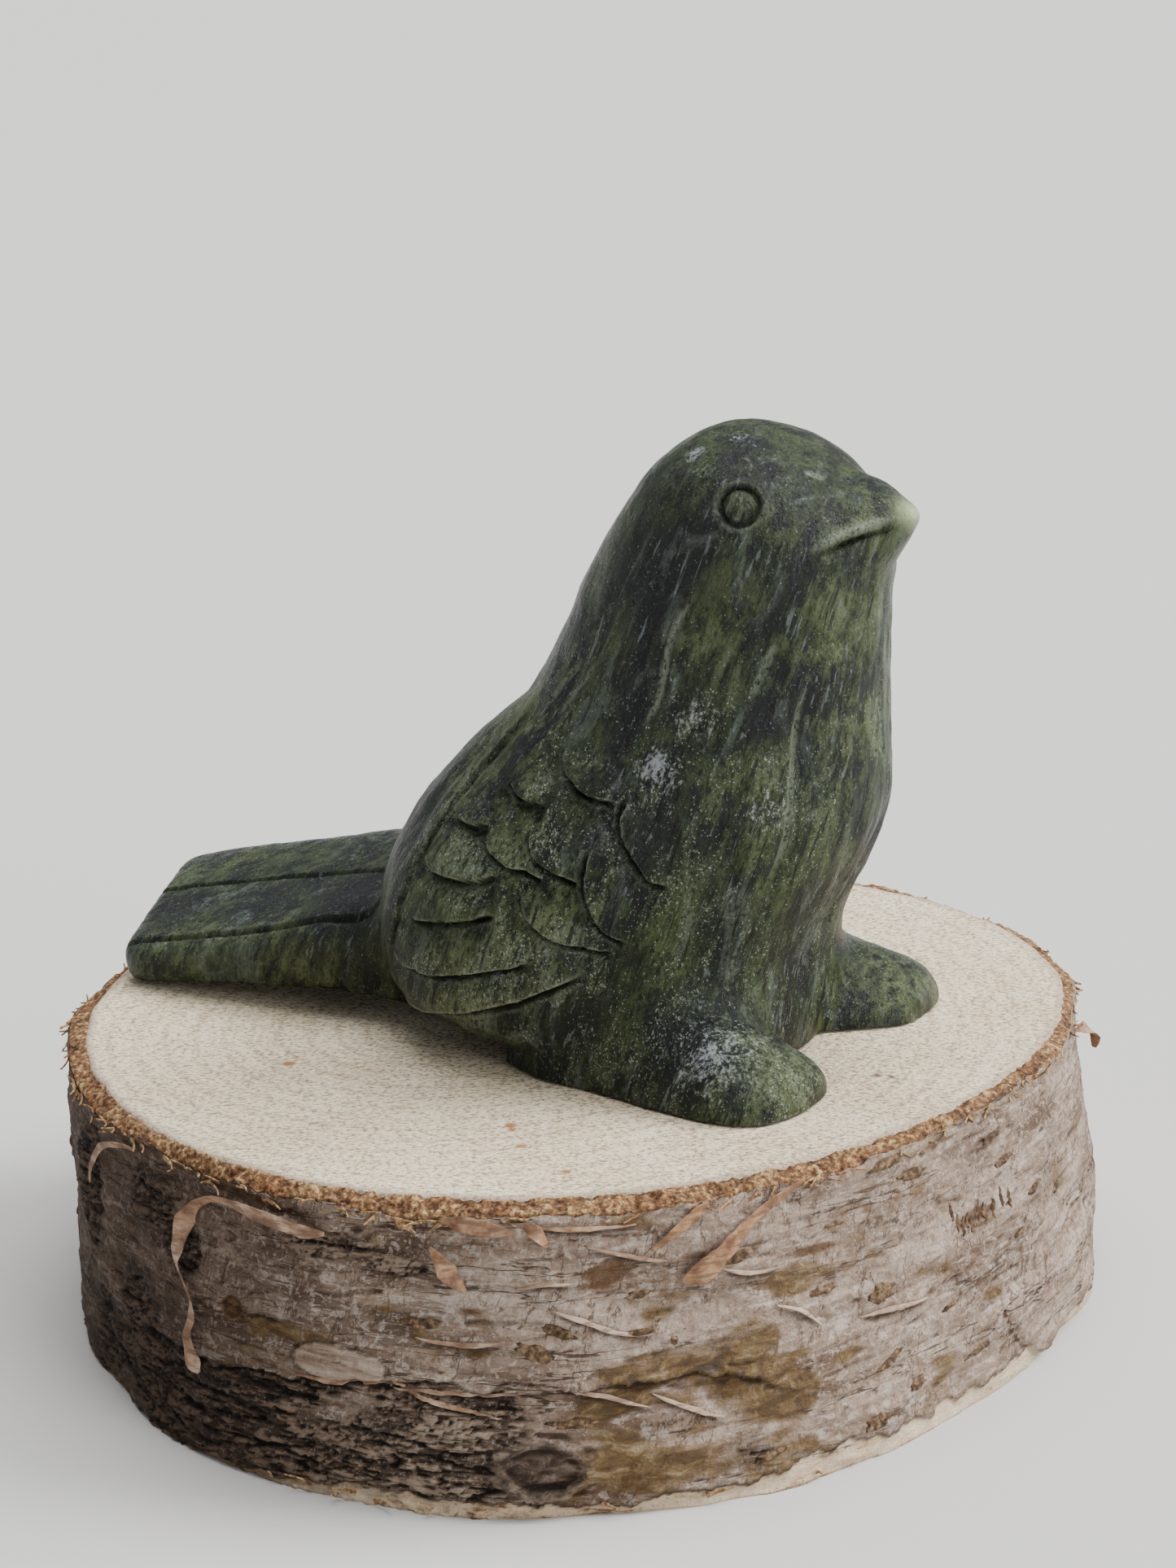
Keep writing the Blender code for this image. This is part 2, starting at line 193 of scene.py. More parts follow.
def closed_skin(rings):
    """Points and faces of a skin through rings[i, j]. It runs round in j, and a fan closes each end."""
    rows, count = rings.shape[:2]
    i, j = np.meshgrid(np.arange(rows - 1), np.arange(count), indexing="ij")
    turn, last = np.arange(count), (rows - 1) * count
    after = (turn + 1) % count
    low = np.stack([after, turn, np.full(count, rows * count)], axis=-1)
    high = np.stack([last + turn, last + after, np.full(count, rows * count + 1)], axis=-1)
    points = np.concatenate([rings.reshape(-1, 3), rings[0].mean(0)[None], rings[-1].mean(0)[None]])
    return points, grid_quads(i, j, i + 1, count) + low.tolist() + high.tolist()


def closed_ring(grid):
    """Points and faces of a skin through grid[i, j] that runs round in both i and j, as a tyre does."""
    rows, count = grid.shape[:2]
    i, j = np.meshgrid(np.arange(rows), np.arange(count), indexing="ij")
    return grid.reshape(-1, 3), grid_quads(i, j, (i + 1) % rows, count)


def joined(skins):
    """Several skins as one list of points and one list of faces."""
    points, faces, start = [], [], 0
    for skin_points, skin_faces in skins:
        points.append(skin_points)
        faces += [[start + corner for corner in face] for face in skin_faces]
        start += len(skin_points)
    return np.concatenate(points), faces


def volume(points, faces):
    """The volume inside a skin, negative where it is inside out: each face adds a sixth of the
    triple product of its corners."""
    fans = [(f[0], f[k], f[k + 1]) for f in faces for k in range(1, len(f) - 1)]
    a, b, c = points[np.array(fans)].transpose(1, 0, 2)
    return float(np.einsum("ij,ij->i", a, np.cross(b, c)).sum() / 6)


# %% Pieces, and what modifiers make of them
def give_fields(mesh, fields):
    """One float attribute for each field, which a material reads by its name."""
    for name, values in fields.items():
        attribute = mesh.attributes.new(name, "FLOAT", "POINT")
        attribute.data.foreach_set("value", values.astype(np.float32))


def make_piece(name, skin, material, fields=None):
    """An object at the origin with its place in its mesh, its faces outwards, and its fields."""
    points, faces = skin
    if volume(points, faces) < 0:
        faces = [face[::-1] for face in faces]
    mesh = bpy.data.meshes.new(name)
    mesh.from_pydata(points.tolist(), [], faces)
    mesh.shade_smooth()
    mesh.materials.append(material)
    give_fields(mesh, fields or {})
    print(f"{name}: {sum(len(face) - 2 for face in faces)} triangles")
    return add_object(name, mesh)


def vectors(mesh, name="co"):
    """The place (co) or the normal of every point of a mesh, in rows of three."""
    values = np.empty(3 * len(mesh.vertices))
    mesh.vertices.foreach_get(name, values)
    return values.reshape(-1, 3)


def with_modifier(mesh, kind, **settings):
    """The new mesh that a modifier makes of the given one."""
    worker = add_object("worker", mesh)
    modifier = worker.modifiers.new("shape", kind)
    for name, value in settings.items():
        setattr(modifier, name, value)
    ready = worker.evaluated_get(bpy.context.evaluated_depsgraph_get())
    made = bpy.data.meshes.new_from_object(ready)
    bpy.data.objects.remove(worker, do_unlink=True)
    return made


# %% Random fields
def wander(points, size, seed, stretch=(1, 1, 1)):
    """A smooth random field, from about -1 to 1. Space is cut into cells of the given size, stretched
    along the axes. Each corner has a random slope, and inside a cell the eight slopes are mixed with
    the fade 6t^5 - 15t^4 + 10t^3."""
    slopes = np.random.default_rng(seed).normal(size=(256, 3))
    slopes /= np.linalg.norm(slopes, axis=1)[:, None]
    place = points / (size * np.array(stretch, float))
    cell = np.floor(place).astype(np.int64)
    part = place - cell
    fade = part**3 * (part * (part * 6 - 15) + 10)
    total = np.zeros(len(points))
    for corner in np.ndindex(2, 2, 2):
        at = cell + corner
        mixed = at[:, 0] * 73856093 ^ at[:, 1] * 19349663 ^ at[:, 2] * 83492791
        slope = slopes[(mixed ^ mixed >> 9) & 255]
        weight = np.prod(np.where(corner, fade, 1 - fade), axis=1)
        total += weight * np.einsum("ij,ij->i", part - corner, slope)
    return 1.8 * total


def layered(points, size, seed, layers, stretch=(1, 1, 1)):
    """Random fields added up, each with half the size and half the strength of the one before."""
    parts = [0.5**k * wander(points, size * 0.5**k, seed + k, stretch) for k in range(layers)]
    return sum(parts)


# %% [markdown]
# ## The bird's forms
#
# The carver first leaves plain rounded forms: an egg-shaped body that runs up into the head, two
# blunt feet, a flat tail and a wedge of a beak. Each is a stack of ovals, a function of two
# parameters: how far along the form, and how far round it. Their sizes are shares of the bird's
# height, and that height is the solid's own.

# %% Ovals carried along the body, tail, feet and beak
BIRD_HEIGHT = 0.0715
SEAT = np.array([0.0015, -0.0406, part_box("serpentine_bird")[0].z])
TAIL_THICKNESS = 0.0060
# height, front behind the toes, back behind the toes, half width, the oval's power
TORSO = (
    (-0.060, 0.150, 0.480, 0.200, 2.4),
    (0.000, 0.130, 0.590, 0.242, 2.5),
    (0.030, 0.120, 0.690, 0.270, 2.6),
    (0.062, 0.115, 0.770, 0.298, 2.7),
    (0.110, 0.110, 0.818, 0.317, 2.7),
    (0.180, 0.103, 0.838, 0.328, 2.4),
    (0.275, 0.053, 0.829, 0.330, 2.2),
    (0.360, 0.012, 0.784, 0.316, 2.1),
    (0.420, -0.004, 0.735, 0.300, 2.1),
    (0.474, -0.006, 0.684, 0.282, 2.0),
    (0.525, -0.006, 0.624, 0.262, 2.0),
    (0.571, -0.007, 0.572, 0.245, 2.0),
    (0.682, -0.012, 0.508, 0.215, 2.0),
    (0.740, -0.016, 0.482, 0.206, 2.0),
    (0.790, -0.024, 0.454, 0.200, 2.0),
    (0.860, -0.010, 0.410, 0.186, 2.0),
    (0.925, 0.034, 0.360, 0.160, 2.0),
    (0.966, 0.090, 0.312, 0.120, 2.0),
    (0.991, 0.153, 0.264, 0.064, 2.0),
    (1.000, 0.193, 0.232, 0.016, 2.0),
)
# behind the toes, middle to the left, half width, top, thickness / TAIL_THICKNESS, tilt in degrees
TAIL = (
    (0.600, 0.010, 0.150, 0.225, 2.30, 14),
    (0.760, 0.012, 0.170, 0.240, 2.45, 14),
    (0.900, 0.018, 0.186, 0.213, 1.85, 14),
    (1.080, 0.030, 0.196, 0.166, 1.36, 12),
    (1.260, 0.041, 0.202, 0.122, 1.02, 10),
    (1.362, 0.045, 0.198, 0.097, 0.88, 9),
    (1.392, 0.046, 0.170, 0.086, 0.62, 9),
)
TAIL_SLANT = 0.27
# behind the toe, middle to the outside, half width, top, in thousandths of the bird's height
RIGHT_FOOT = (
    (540, 150, 100, 60),
    (450, 172, 125, 150),
    (340, 196, 124, 180),
    (240, 228, 120, 155),
    (170, 246, 120, 130),
    (100, 254, 119, 104),
    (50, 251, 108, 76),
    (20, 240, 80, 50),
    (6, 226, 34, 26),
)
LEFT_FOOT = (
    (540, 150, 100, 60),
    (450, 175, 135, 140),
    (340, 190, 145, 165),
    (240, 195, 150, 134),
    (170, 201, 155, 112),
    (100, 219, 131, 90),
    (50, 232, 108, 68),
    (22, 224, 74, 48),
    (10, 218, 32, 24),
)
# ahead of the toes, half width, top, bottom, in the same thousandths
BEAK = (
    (-200, 150, 935, 745),
    (-90, 128, 935, 745),
    (-10, 92, 924, 755),
    (24, 60, 910, 782),
    (48, 37, 896, 818),
    (66, 20, 884, 846),
    (76, 7, 873, 862),
)


def oval(half_width, half_height, power, count):
    """A closed outline |x/a|^n + |z/b|^n = 1, for columns of half widths a, half heights b, powers n."""
    turn = np.linspace(0, 2 * math.pi, count, endpoint=False)
    c, s = np.cos(turn), np.sin(turn)
    across = half_width[:, None] * np.sign(c) * np.abs(c) ** (2 / power[:, None])
    upward = half_height[:, None] * np.sign(s) * np.abs(s) ** (2 / power[:, None])
    return across, upward


def torso_rings():
    """Level ovals from back to front, stacked by height."""
    height, front, back, half_width, power = smooth_rows(TORSO, 90).T
    x, y = oval(half_width, 0.5 * (back - front), power, 72)
    y = y + 0.5 * (front + back)[:, None]
    return np.stack([x, y, np.broadcast_to(height[:, None], x.shape)], axis=-1)


def tail_rings():
    """Upright ovals one behind the other, each turned by its tilt. Towards the tip they slant: how far
    back a point lies grows with how far it lies to the left."""
    back, middle, half_width, top, thick, tilt = smooth_rows(TAIL, 40).T
    half_height = 0.5 * thick * TAIL_THICKNESS / BIRD_HEIGHT
    across, upward = oval(half_width, half_height, np.full(len(back), 5.0), 96)
    c, s = np.cos(np.radians(tilt))[:, None], np.sin(np.radians(tilt))[:, None]
    x = middle[:, None] + across * c - upward * s
    z = (top - half_height)[:, None] + across * s + upward * c
    y = back[:, None] + TAIL_SLANT * np.clip((back[:, None] - 0.9) / 0.5, 0, 1) * across
    return np.stack([x, y, z], axis=-1)


def foot_rings(rows, side):
    """Upright ovals one ahead of the other. Their lower halves go below the seat and are cut off later."""
    back, middle, half_width, top = smooth_rows(np.array(rows) / 1000, 40).T
    across, upward = oval(half_width, top, np.full(len(back), 1.9), 48)
    return np.stack([side * middle[:, None] + across, back[:, None] + 0 * across, upward], axis=-1)


def beak_rings():
    """Upright ovals between the bottom and the top of the beak, one ahead of the other."""
    ahead, half_width, top, bottom = smooth_rows(np.array(BEAK) / 1000, 34).T
    across, upward = oval(half_width, 0.5 * (top - bottom), np.full(len(ahead), 2.0), 48)
    upward = upward + 0.5 * (top + bottom)[:, None]
    return np.stack([across, 0 * across - ahead[:, None], upward], axis=-1)


forms = [torso_rings(), tail_rings(), foot_rings(RIGHT_FOOT, -1), foot_rings(LEFT_FOOT, 1), beak_rings()]
print("the bird's height is", BIRD_HEIGHT, "m, and it is made of", len(forms), "forms")

# %% [markdown]
# ## One block
#
# The forms are one stone, so their skins are fused by a voxel remesh, and smoothing rounds the inner
# corners where they meet, as files and sandpaper do. The legs and the tail's root are rubbed down
# further than the beak and the tail's edges. The skin is fine here, because the carving is cut into
# it point by point, and it is thinned afterwards where it is smooth.

# %% Fuse the forms
BLANK_VOXEL = 0.00030

points, faces = joined([closed_skin(BIRD_HEIGHT * rings) for rings in forms])
blank = bpy.data.meshes.new("blank")
blank.from_pydata(points.tolist(), [], faces)
bird_skin = with_modifier(blank, "REMESH", mode="VOXEL", voxel_size=BLANK_VOXEL)
print("the blank has", len(bird_skin.vertices), "points")

# %% Soften the joints
SOFTENING = 0.0007            # reach of the smoothing everywhere
JOINT_SOFTENING = 0.0030      # reach where the legs and the tail grow out of the body
# place in mm (left, behind the toes, above the seat), radius in mm
SOFT_JOINTS = (
    (-15, 17, 15, 12), (-23, 22, 12, 9), (-8, 10, 13, 9), (-22, 28, 8, 8), (15, 17, 13, 11), (23, 22, 12, 9),
    (8, 10, 13, 9), (-12, 58, 8, 6), (-13, 60, 13, 6), (13, 58, 12, 8), (0, 58, 4, 9),
)
# the same, and how much less the stone is rubbed down there
CRISP_PLACES = ((0, -5, 62.2, 5.0, 0.80), (-8, 99, 6, 8.0, 0.5), (10, 102, 8, 8.0, 0.5))


def relaxed(points, edges, share, rounds):
    """Each round moves every point by half its share of the way to its neighbours' average."""
    a, b = edges.T
    count = len(points)
    degree = np.maximum(np.bincount(a, minlength=count) + np.bincount(b, minlength=count), 1)
    for _ in range(rounds):
        total = [
            np.bincount(a, points[b, k], count) + np.bincount(b, points[a, k], count) for k in range(3)
        ]
        middle = np.stack(total, axis=1) / degree[:, None]
        points = points + 0.5 * share[:, None] * (middle - points)
    return points


def softened(mesh):
    """The relaxed points of a mesh. A blur that reaches r takes about 4 (r / voxel)^2 rounds: first a
    short reach everywhere, then a longer one over the joints only."""
    points = vectors(mesh)
    edges = np.empty(2 * len(mesh.edges), np.int32)
    mesh.edges.foreach_get("vertices", edges)
    edges = edges.reshape(-1, 2)
    rounds = [round(4 * (reach / BLANK_VOXEL) ** 2) for reach in (SOFTENING, JOINT_SOFTENING)]
    points = relaxed(points, edges, 1 - spots(points, CRISP_PLACES), rounds[0])
    joint = spots(points, [(*row, 1.0) for row in SOFT_JOINTS])
    joint = smooth_step(joint, 0.25, 0.75)
    kept = np.where(joint > 0)[0]
    number = np.full(len(points), -1)
    number[kept] = np.arange(len(kept))
    inside = np.all(number[edges] >= 0, axis=1)
    points[kept] = relaxed(points[kept], number[edges[inside]], joint[kept], rounds[1])
    return points


def spots(points, places):
    """Soft spots: the strongest of strength exp(-(d / radius)^2) over places given in mm."""
    total = np.zeros(len(points))
    for *place, radius, strength in places:
        distance = np.linalg.norm(points - 0.001 * np.array(place), axis=1)
        total = np.maximum(total, strength * np.exp(-((distance / (0.001 * radius)) ** 2)))
    return total


bird_skin.vertices.foreach_set("co", softened(bird_skin).ravel())
bird_skin.update()
print("the joints are softened")

# %% [markdown]
# ## Carving
#
# The wing is cut like roof tiles: the stone is lowered outside each feather's edge, most at the edge
# itself, so that the feather seems to lie on the next one. The cuts are curves drawn on the side view.
# For every point of the skin the distance to each curve gives how deep the stone is cut there. The same
# distances are kept for the material, which paints highlights on the edges, and shade into the cuts and below
# the feathers.

# %% Curves of the carving
# Lower edges of the feathers on the side view (behind the toes, above the seat), from rear to front,
# in thousandths of the bird's height
SHORT_FEATHERS = (
    ((622, 408), (600, 395), (568, 392), (530, 400)),
    ((502, 464), (487, 448), (458, 443), (425, 442)),
    ((418, 526), (404, 499), (387, 481), (359, 465), (305, 456)),
    ((288, 462), (297, 437), (291, 405), (272, 373), (250, 343), (220, 333)),
    ((532, 382), (517, 358), (487, 345), (450, 342), (420, 329)),
    ((450, 404), (439, 372), (416, 351), (389, 341), (360, 330)),
    ((340, 388), (349, 354), (348, 320), (337, 287), (318, 260), (284, 240)),
    ((458, 314), (451, 284), (429, 256), (389, 236), (350, 230), (305, 223)),
)
LONG_FEATHERS = (
    ((662, 336), (643, 314), (593, 309), (547, 314), (505, 330)),
    ((700, 246), (678, 233), (623, 236), (556, 252), (500, 270)),
    ((724, 164), (689, 150), (609, 152), (517, 174), (430, 200)),
    ((724, 88), (680, 74), (595, 89), (492, 121), (421, 153), (345, 192)),
)
# The ridge behind the wing, and then the mouth's line, seen the same way
WING_RIDGE = (
    (742, 120), (732, 190), (706, 270), (668, 345), (630, 412), (590, 470), (545, 528), (505, 570),
)
MOUTH = ((40, 818), (12, 836), (-22, 848), (-66, 858))
# The eye's middle: to the left, behind the toes and above the seat, on both sides
EYE = (162, 146, 902)
# The tail's grooves from above (to the left, behind the toes), in the same shares
TAIL_GROOVES = (
    ((-146, 800), (-142, 1074), (-116, 1400)),
    ((-20, 860), (35, 1116), (72, 1410)),
)
# Strokes scratched with a point, in tenths of a millimetre in the bird's own frame, on its right side
STROKES = (
    ((-144, 144, 555), (-152, 173, 500), (-166, 181, 441), (-177, 198, 406)),
    ((-121, 60, 501), (-141, 86, 437)),
    ((-102, 35, 461), (-114, 45, 401), (-122, 46, 339), (-132, 52, 276), (-139, 72, 226)),
    ((-142, 271, 467), (-148, 321, 405)),
    ((-130, 294, 468), (-129, 345, 408)),
    ((-1, -6, 428), (-13, -3, 348)),
    ((-23, 15, 249), (-38, 56, 171)),
    ((-56, 55, 675), (-43, 36, 666)),
)
# Wider, shallow furrows left by a rasp, the same way
FURROWS = (
    ((-122, 236, 568), (-127, 263, 512), (-135, 291, 457), (-140, 326, 409), (-150, 352, 377)),
    ((-156, 261, 437), (-167, 292, 391), (-188, 315, 348), (-196, 330, 316)),
    ((-128, 321, 434), (-127, 375, 383), (-138, 423, 334), (-164, 453, 281)),
    ((-113, 382, 388), (-120, 443, 337), (-137, 489, 280), (-160, 511, 226)),
    ((-96, 30, 452), (-107, 36, 372), (-126, 44, 294), (-130, 68, 219), (-145, 96, 173)),
    ((-38, 0, 312), (-34, 18, 244), (-4, 57, 164), (-10, 74, 126)),
    ((-179, 120, 319), (-167, 99, 226), (-170, 129, 149), (-200, 145, 100)),
)


def to_scale(rows):
    """Rows in thousandths of the bird's height, brought to metres."""
    return BIRD_HEIGHT * (np.array(rows) / 1000)


def close_to(points, curve, reach):
    """The numbers of the points in the box round a curve, widened by a reach."""
    inside = (points > curve.min(axis=0) - reach) & (points < curve.max(axis=0) + reach)
    return np.where(np.all(inside, axis=1))[0]


def nearest(points, curve, normals=None):
    """The place on a curve of straight steps that is nearest to each point: the gap to it, its length,
    the step it lies on and how far along the curve it is, from 0 to 1. With normals, distance is
    measured along the surface: the part of the gap along the normal doesn't count."""
    start, step = curve[:-1], np.diff(curve, axis=0)
    offset = points[:, None] - start
    share = np.clip((offset * step).sum(-1) / (step**2).sum(-1), 0, 1)
    gap = offset - share[..., None] * step
    if normals is not None:
        gap -= (gap * normals[:, None]).sum(-1)[..., None] * normals[:, None]
    length = np.linalg.norm(gap, axis=-1)
    best = length.argmin(axis=1)
    pick = np.arange(len(points)), best
    return gap[pick], length[pick], step[best], (best + share[pick]) / len(step)


def along_curve(points, curve, reach):
    """Which points of a plane lie within a reach of a curve, their distance to it (positive on its
    left) and how far along it they are."""
    curve = smooth_rows(curve, 8 * len(curve))
    which = close_to(points, curve, reach)
    gap, length, step, along = nearest(points[which], curve)
    side = np.sign(step[:, 0] * gap[:, 1] - step[:, 1] * gap[:, 0])
    return which, side * length, along


def fade_ends(along, share):
    """0 at both ends of a curve, 1 from the given share of its length onwards."""
    return smooth_step(np.minimum(along, 1 - along), 0, share)


# %% Depth of the cuts
CUT_DEPTH = 0.0016
CUT_WIDTH = 0.0036
NOTCH_WIDTH = 0.0008
EDGE_ROUND = 0.00035
FEATHER_SWELL = 0.00060
EDGE_CHIP = 0.00016
RIDGE_CUT = 0.34
FURROW_WIDTH, FURROW_DEPTH = 0.0030, 0.00045
EYE_DIAMETER, EYE_BULGE = 0.0034, 0.00045
EYE_GROOVE_WIDTH, EYE_GROOVE_DEPTH = 0.0008, 0.0006
MOUTH_WIDTH, MOUTH_DEPTH, LIP_RISE = 0.0008, 0.0007, 0.00025
TAIL_GROOVE_WIDTH, TAIL_GROOVE_DEPTH = 0.0010, 0.0007
STROKE_WIDTH, STROKE_DEPTH = 0.00055, 0.00030
FILE_MARKS = 0.00016
STONE_BULGES, STONE_RIPPLES = 0.00012, 0.00004
# file marks show on the breast: they fade in upwards, forwards and then downwards between these
FILED_FROM, FILED_FRONT, FILED_UP_TO = (0.012, 0.030), (-0.036, -0.016), (-0.062, -0.052)
# where light catches an edge, as distance from the edge and width of the gleam
EDGE_HIGHLIGHT = (-0.00020, 0.00018)
NOTCH_HIGHLIGHT = (NOTCH_WIDTH + 0.00010, 0.00016)


def feather_cuts(points):
    """The wing's relief. Outside an edge, at distance g, the stone is lowered by a straight-sided
    notch 1 - g/notch and a wider slope (1 - g/width)^1.6; inside it, the feather rises again over
    the edge's rounding and swells towards it."""
    seen = points[:, 1:3]
    side_on = np.clip(np.abs(points[:, 0]) / (0.10 * BIRD_HEIGHT) - 0.5, 0, 1)
    chips = EDGE_CHIP * layered(points, 0.0022, 11, 3)
    relief, scratches_and_highlights, painted_cut_shade, recess_shade = np.zeros((4, len(points)))
    cuts = [(edge, 1.0) for edge in SHORT_FEATHERS + LONG_FEATHERS] + [(WING_RIDGE, RIDGE_CUT)]
    for edge, strength in cuts:
        which, gap, along = along_curve(seen, to_scale(edge), 2 * CUT_WIDTH)
        gap = gap + chips[which]
        ends = fade_ends(along, 0.15) * strength
        slope = np.clip(1 - gap / CUT_WIDTH, 0, 1) ** 1.6
        outside = 0.62 * slope + 0.38 * np.clip(1 - gap / NOTCH_WIDTH, 0, 1)
        inside = np.clip(1 + gap / EDGE_ROUND, 0, 1) ** 2
        cut = -CUT_DEPTH * np.where(gap > 0, outside, inside)
        swell = np.where(gap > 0, 0, FEATHER_SWELL * bell(gap, 0, CUT_WIDTH))
        relief[which] += (cut + swell) * ends
        # painted highlight along each edge, and painted shade in the notch
        gleam = bell(gap, *EDGE_HIGHLIGHT) + 0.35 * bell(gap, *NOTCH_HIGHLIGHT)
        pit = np.where(gap > -0.0001, smooth_step(-gap / NOTCH_WIDTH, -0.85, -0.35), 0)
        # painted shade on the lowered stone below each edge
        below = np.where(gap > 0, slope**2, 0)
        for total, value in ((scratches_and_highlights, gleam), (painted_cut_shade, pit), (recess_shade, below)):
            total[which] = np.maximum(total[which], value * ends)
    return relief * side_on, scratches_and_highlights * side_on, painted_cut_shade * side_on, recess_shade * side_on


def groove(points, curve, width, depth, end_share):
    """The relief of a round-bottomed groove: -depth (1 - (2 g / width)^2) at distance g."""
    relief = np.zeros(len(points))
    which, gap, along = along_curve(points, curve, width)
    relief[which] = -depth * np.clip(1 - (2 * gap / width) ** 2, 0, 1) * fade_ends(along, end_share)
    return relief


def eye_relief(points):
    """A low round ball in a ring-shaped groove, on either side of the head, and how much a point
    belongs to the groove's outer rim and to the groove."""
    middle = to_scale(EYE)
    away_left = np.linalg.norm(points - middle, axis=1)
    away_right = np.linalg.norm(points * (-1, 1, 1) - middle, axis=1)
    distance = np.minimum(away_left, away_right)
    ball = np.clip(1 - (2 * distance / EYE_DIAMETER) ** 2, 0, 1)
    ring = 0.5 * (EYE_DIAMETER + EYE_GROOVE_WIDTH)
    dip = np.clip(1 - (2 * (distance - ring) / EYE_GROOVE_WIDTH) ** 2, 0, 1)
    rim = bell(distance, ring + 0.6 * EYE_GROOVE_WIDTH, 0.0003)
    return EYE_BULGE * ball - EYE_GROOVE_DEPTH * dip, rim, dip


def stroke_field(points, normals, strokes, stroke_width):
    """1 on the strokes of either side, measured along the surface, and fading off them."""
    field = np.zeros(len(points))
    for side in (1, -1):
        for stroke in strokes:
            curve = smooth_rows(np.array(stroke) / 10000 * (side, 1, 1), 24)
            which = close_to(points, curve, 2 * stroke_width + 0.001)
            _, length, _, along = nearest(points[which], curve, normals[which])
            line = bell(2 * length, 0, stroke_width) * fade_ends(along, 0.25)
            field[which] = np.maximum(field[which], line)
    return field


def carving(points, normals):
    """How far the carving moves each point out along its normal, and the fields that the stone's material
    reads: pale strokes with painted highlights on edges, lower lip and eye rim; painted shade in the cuts,
    the mouth, the eye's groove and the tail's grooves; and painted shade below the feathers and in the
    furrows."""
    relief, scratches_and_highlights, painted_cut_shade, recess_shade = feather_cuts(points)
    seen = points[:, 1:3]
    mouth_line = to_scale(MOUTH)
    mouth = groove(seen, mouth_line, MOUTH_WIDTH, MOUTH_DEPTH, 0.45)
    which, gap, along = along_curve(seen, mouth_line, 0.003)
    lip = np.zeros(len(points))
    lip[which] = bell(gap, -0.0011, 0.0005) * fade_ends(along, 0.4)
    eye, eye_rim, eye_dip = eye_relief(points)
    upward = np.clip(3 * normals[:, 2] - 0.6, 0, 1)
    tail = np.zeros(len(points))
    for line in TAIL_GROOVES:
        cut = groove(points[:, :2], to_scale(line), TAIL_GROOVE_WIDTH, TAIL_GROOVE_DEPTH, 0.06)
        tail += upward * cut
    strokes = stroke_field(points, normals, STROKES, STROKE_WIDTH)
    furrows = stroke_field(points, normals, FURROWS, FURROW_WIDTH)
    relief = relief + mouth + LIP_RISE * lip + eye + tail
    relief = relief - STROKE_DEPTH * strokes - FURROW_DEPTH * furrows
    relief += STONE_BULGES * layered(points, 0.0055, 31, 2)
    relief += STONE_RIPPLES * wander(points, 0.0012, 37, (1, 1, 3))
    filed = points + np.outer(points[:, 2], (0, 0.4, 0))
    breast = smooth_step(points[:, 2], *FILED_FROM) * smooth_step(-points[:, 1], *FILED_FRONT)
    breast = breast * smooth_step(-points[:, 2], *FILED_UP_TO)
    relief += FILE_MARKS * breast * layered(filed, 0.0021, 41, 2, (1, 1, 9))
    # pale strokes, with painted highlights on the edges, the lower lip and the eye's rim; painted shade in
    # the cuts, the mouth, the eye's groove and the tail's grooves
    scratches_and_highlights = np.clip(scratches_and_highlights + 0.9 * lip + 0.30 * eye_rim + 0.6 * strokes, 0, 1)
    painted_cut_shade = np.clip(painted_cut_shade - mouth / MOUTH_DEPTH + 0.45 * eye_dip - 0.7 * tail / TAIL_GROOVE_DEPTH, 0, 1)
    # painted shade below the feather edges and in the furrows
    return relief, scratches_and_highlights, painted_cut_shade, np.clip(recess_shade + 0.5 * furrows, 0, 1)


# %% Cut the skin and flatten its underside
points, normals = vectors(bird_skin), vectors(bird_skin, "normal")
points = points + carving(points, normals)[0][:, None] * normals
points[:, 2] = np.maximum(points[:, 2], 0)
bird_skin.vertices.foreach_set("co", points.ravel())
bird_skin.update()
print("highest point above the seat:", round(points[:, 2].max(), 4), "m")

# %% [markdown]
# ## The stone
#
# Serpentine is clouded: dark green, with olive where it is thin or pale, blue-black drifts, and a few milky
# clouds, among which are painted highlights and reflections. The drifts that catch the eye have their own
# places, held as soft spots, and noise breaks up their borders. The hand-rubbed surface is satin: fine
# scratches run down the body, and between them sit tiny pale grains, partly painted glints.

# %% Where the stone is pale, inky or milky
# place in the bird's own frame in mm (left, behind the toes, above the seat), radius in mm, strength
OLIVE_SPOTS = (
    (-5, 0, 52, 7, 1.0), (-3, 0, 38, 7, 0.8), (5, 1, 46, 8, 0.7), (-15, 14, 51, 5, 0.5),
    (-11.6, 10.5, 64.7, 1.5, 1.0), (-4, -2, 62, 4, 1.0), (12, 5, 5, 8, 0.8), (-20, 4, 4, 6, 1.2),
    (-12, 70, 6, 8, 0.9), (-9, 88, 7, 6, 1.0), (-11, 39, 38, 5, 1.6), (-15, 43, 32, 5.0, 1.7),
    (-20, 42, 25, 5, 1.4), (-23, 29, 20, 5, 1.5), (-14, 6, 30, 5, 0.4), (-23, 41, 14, 5, 1.4),
    (-22, 41, 7, 5, 1.5), (14, 30, 40, 8, 0.6), (20, 45, 15, 7, 0.5), (-10, 78, 6, 6, 0.6),
    # the last spot of the next row lightens the whole wing: painted light on the side away from the lamps
    (-21, 34, 26, 4, 1.6), (-23, 35, 18, 4, 1.3), (-22, 30, 13, 4, 1.0), (-20, 40, 20, 12, 0.95),
)
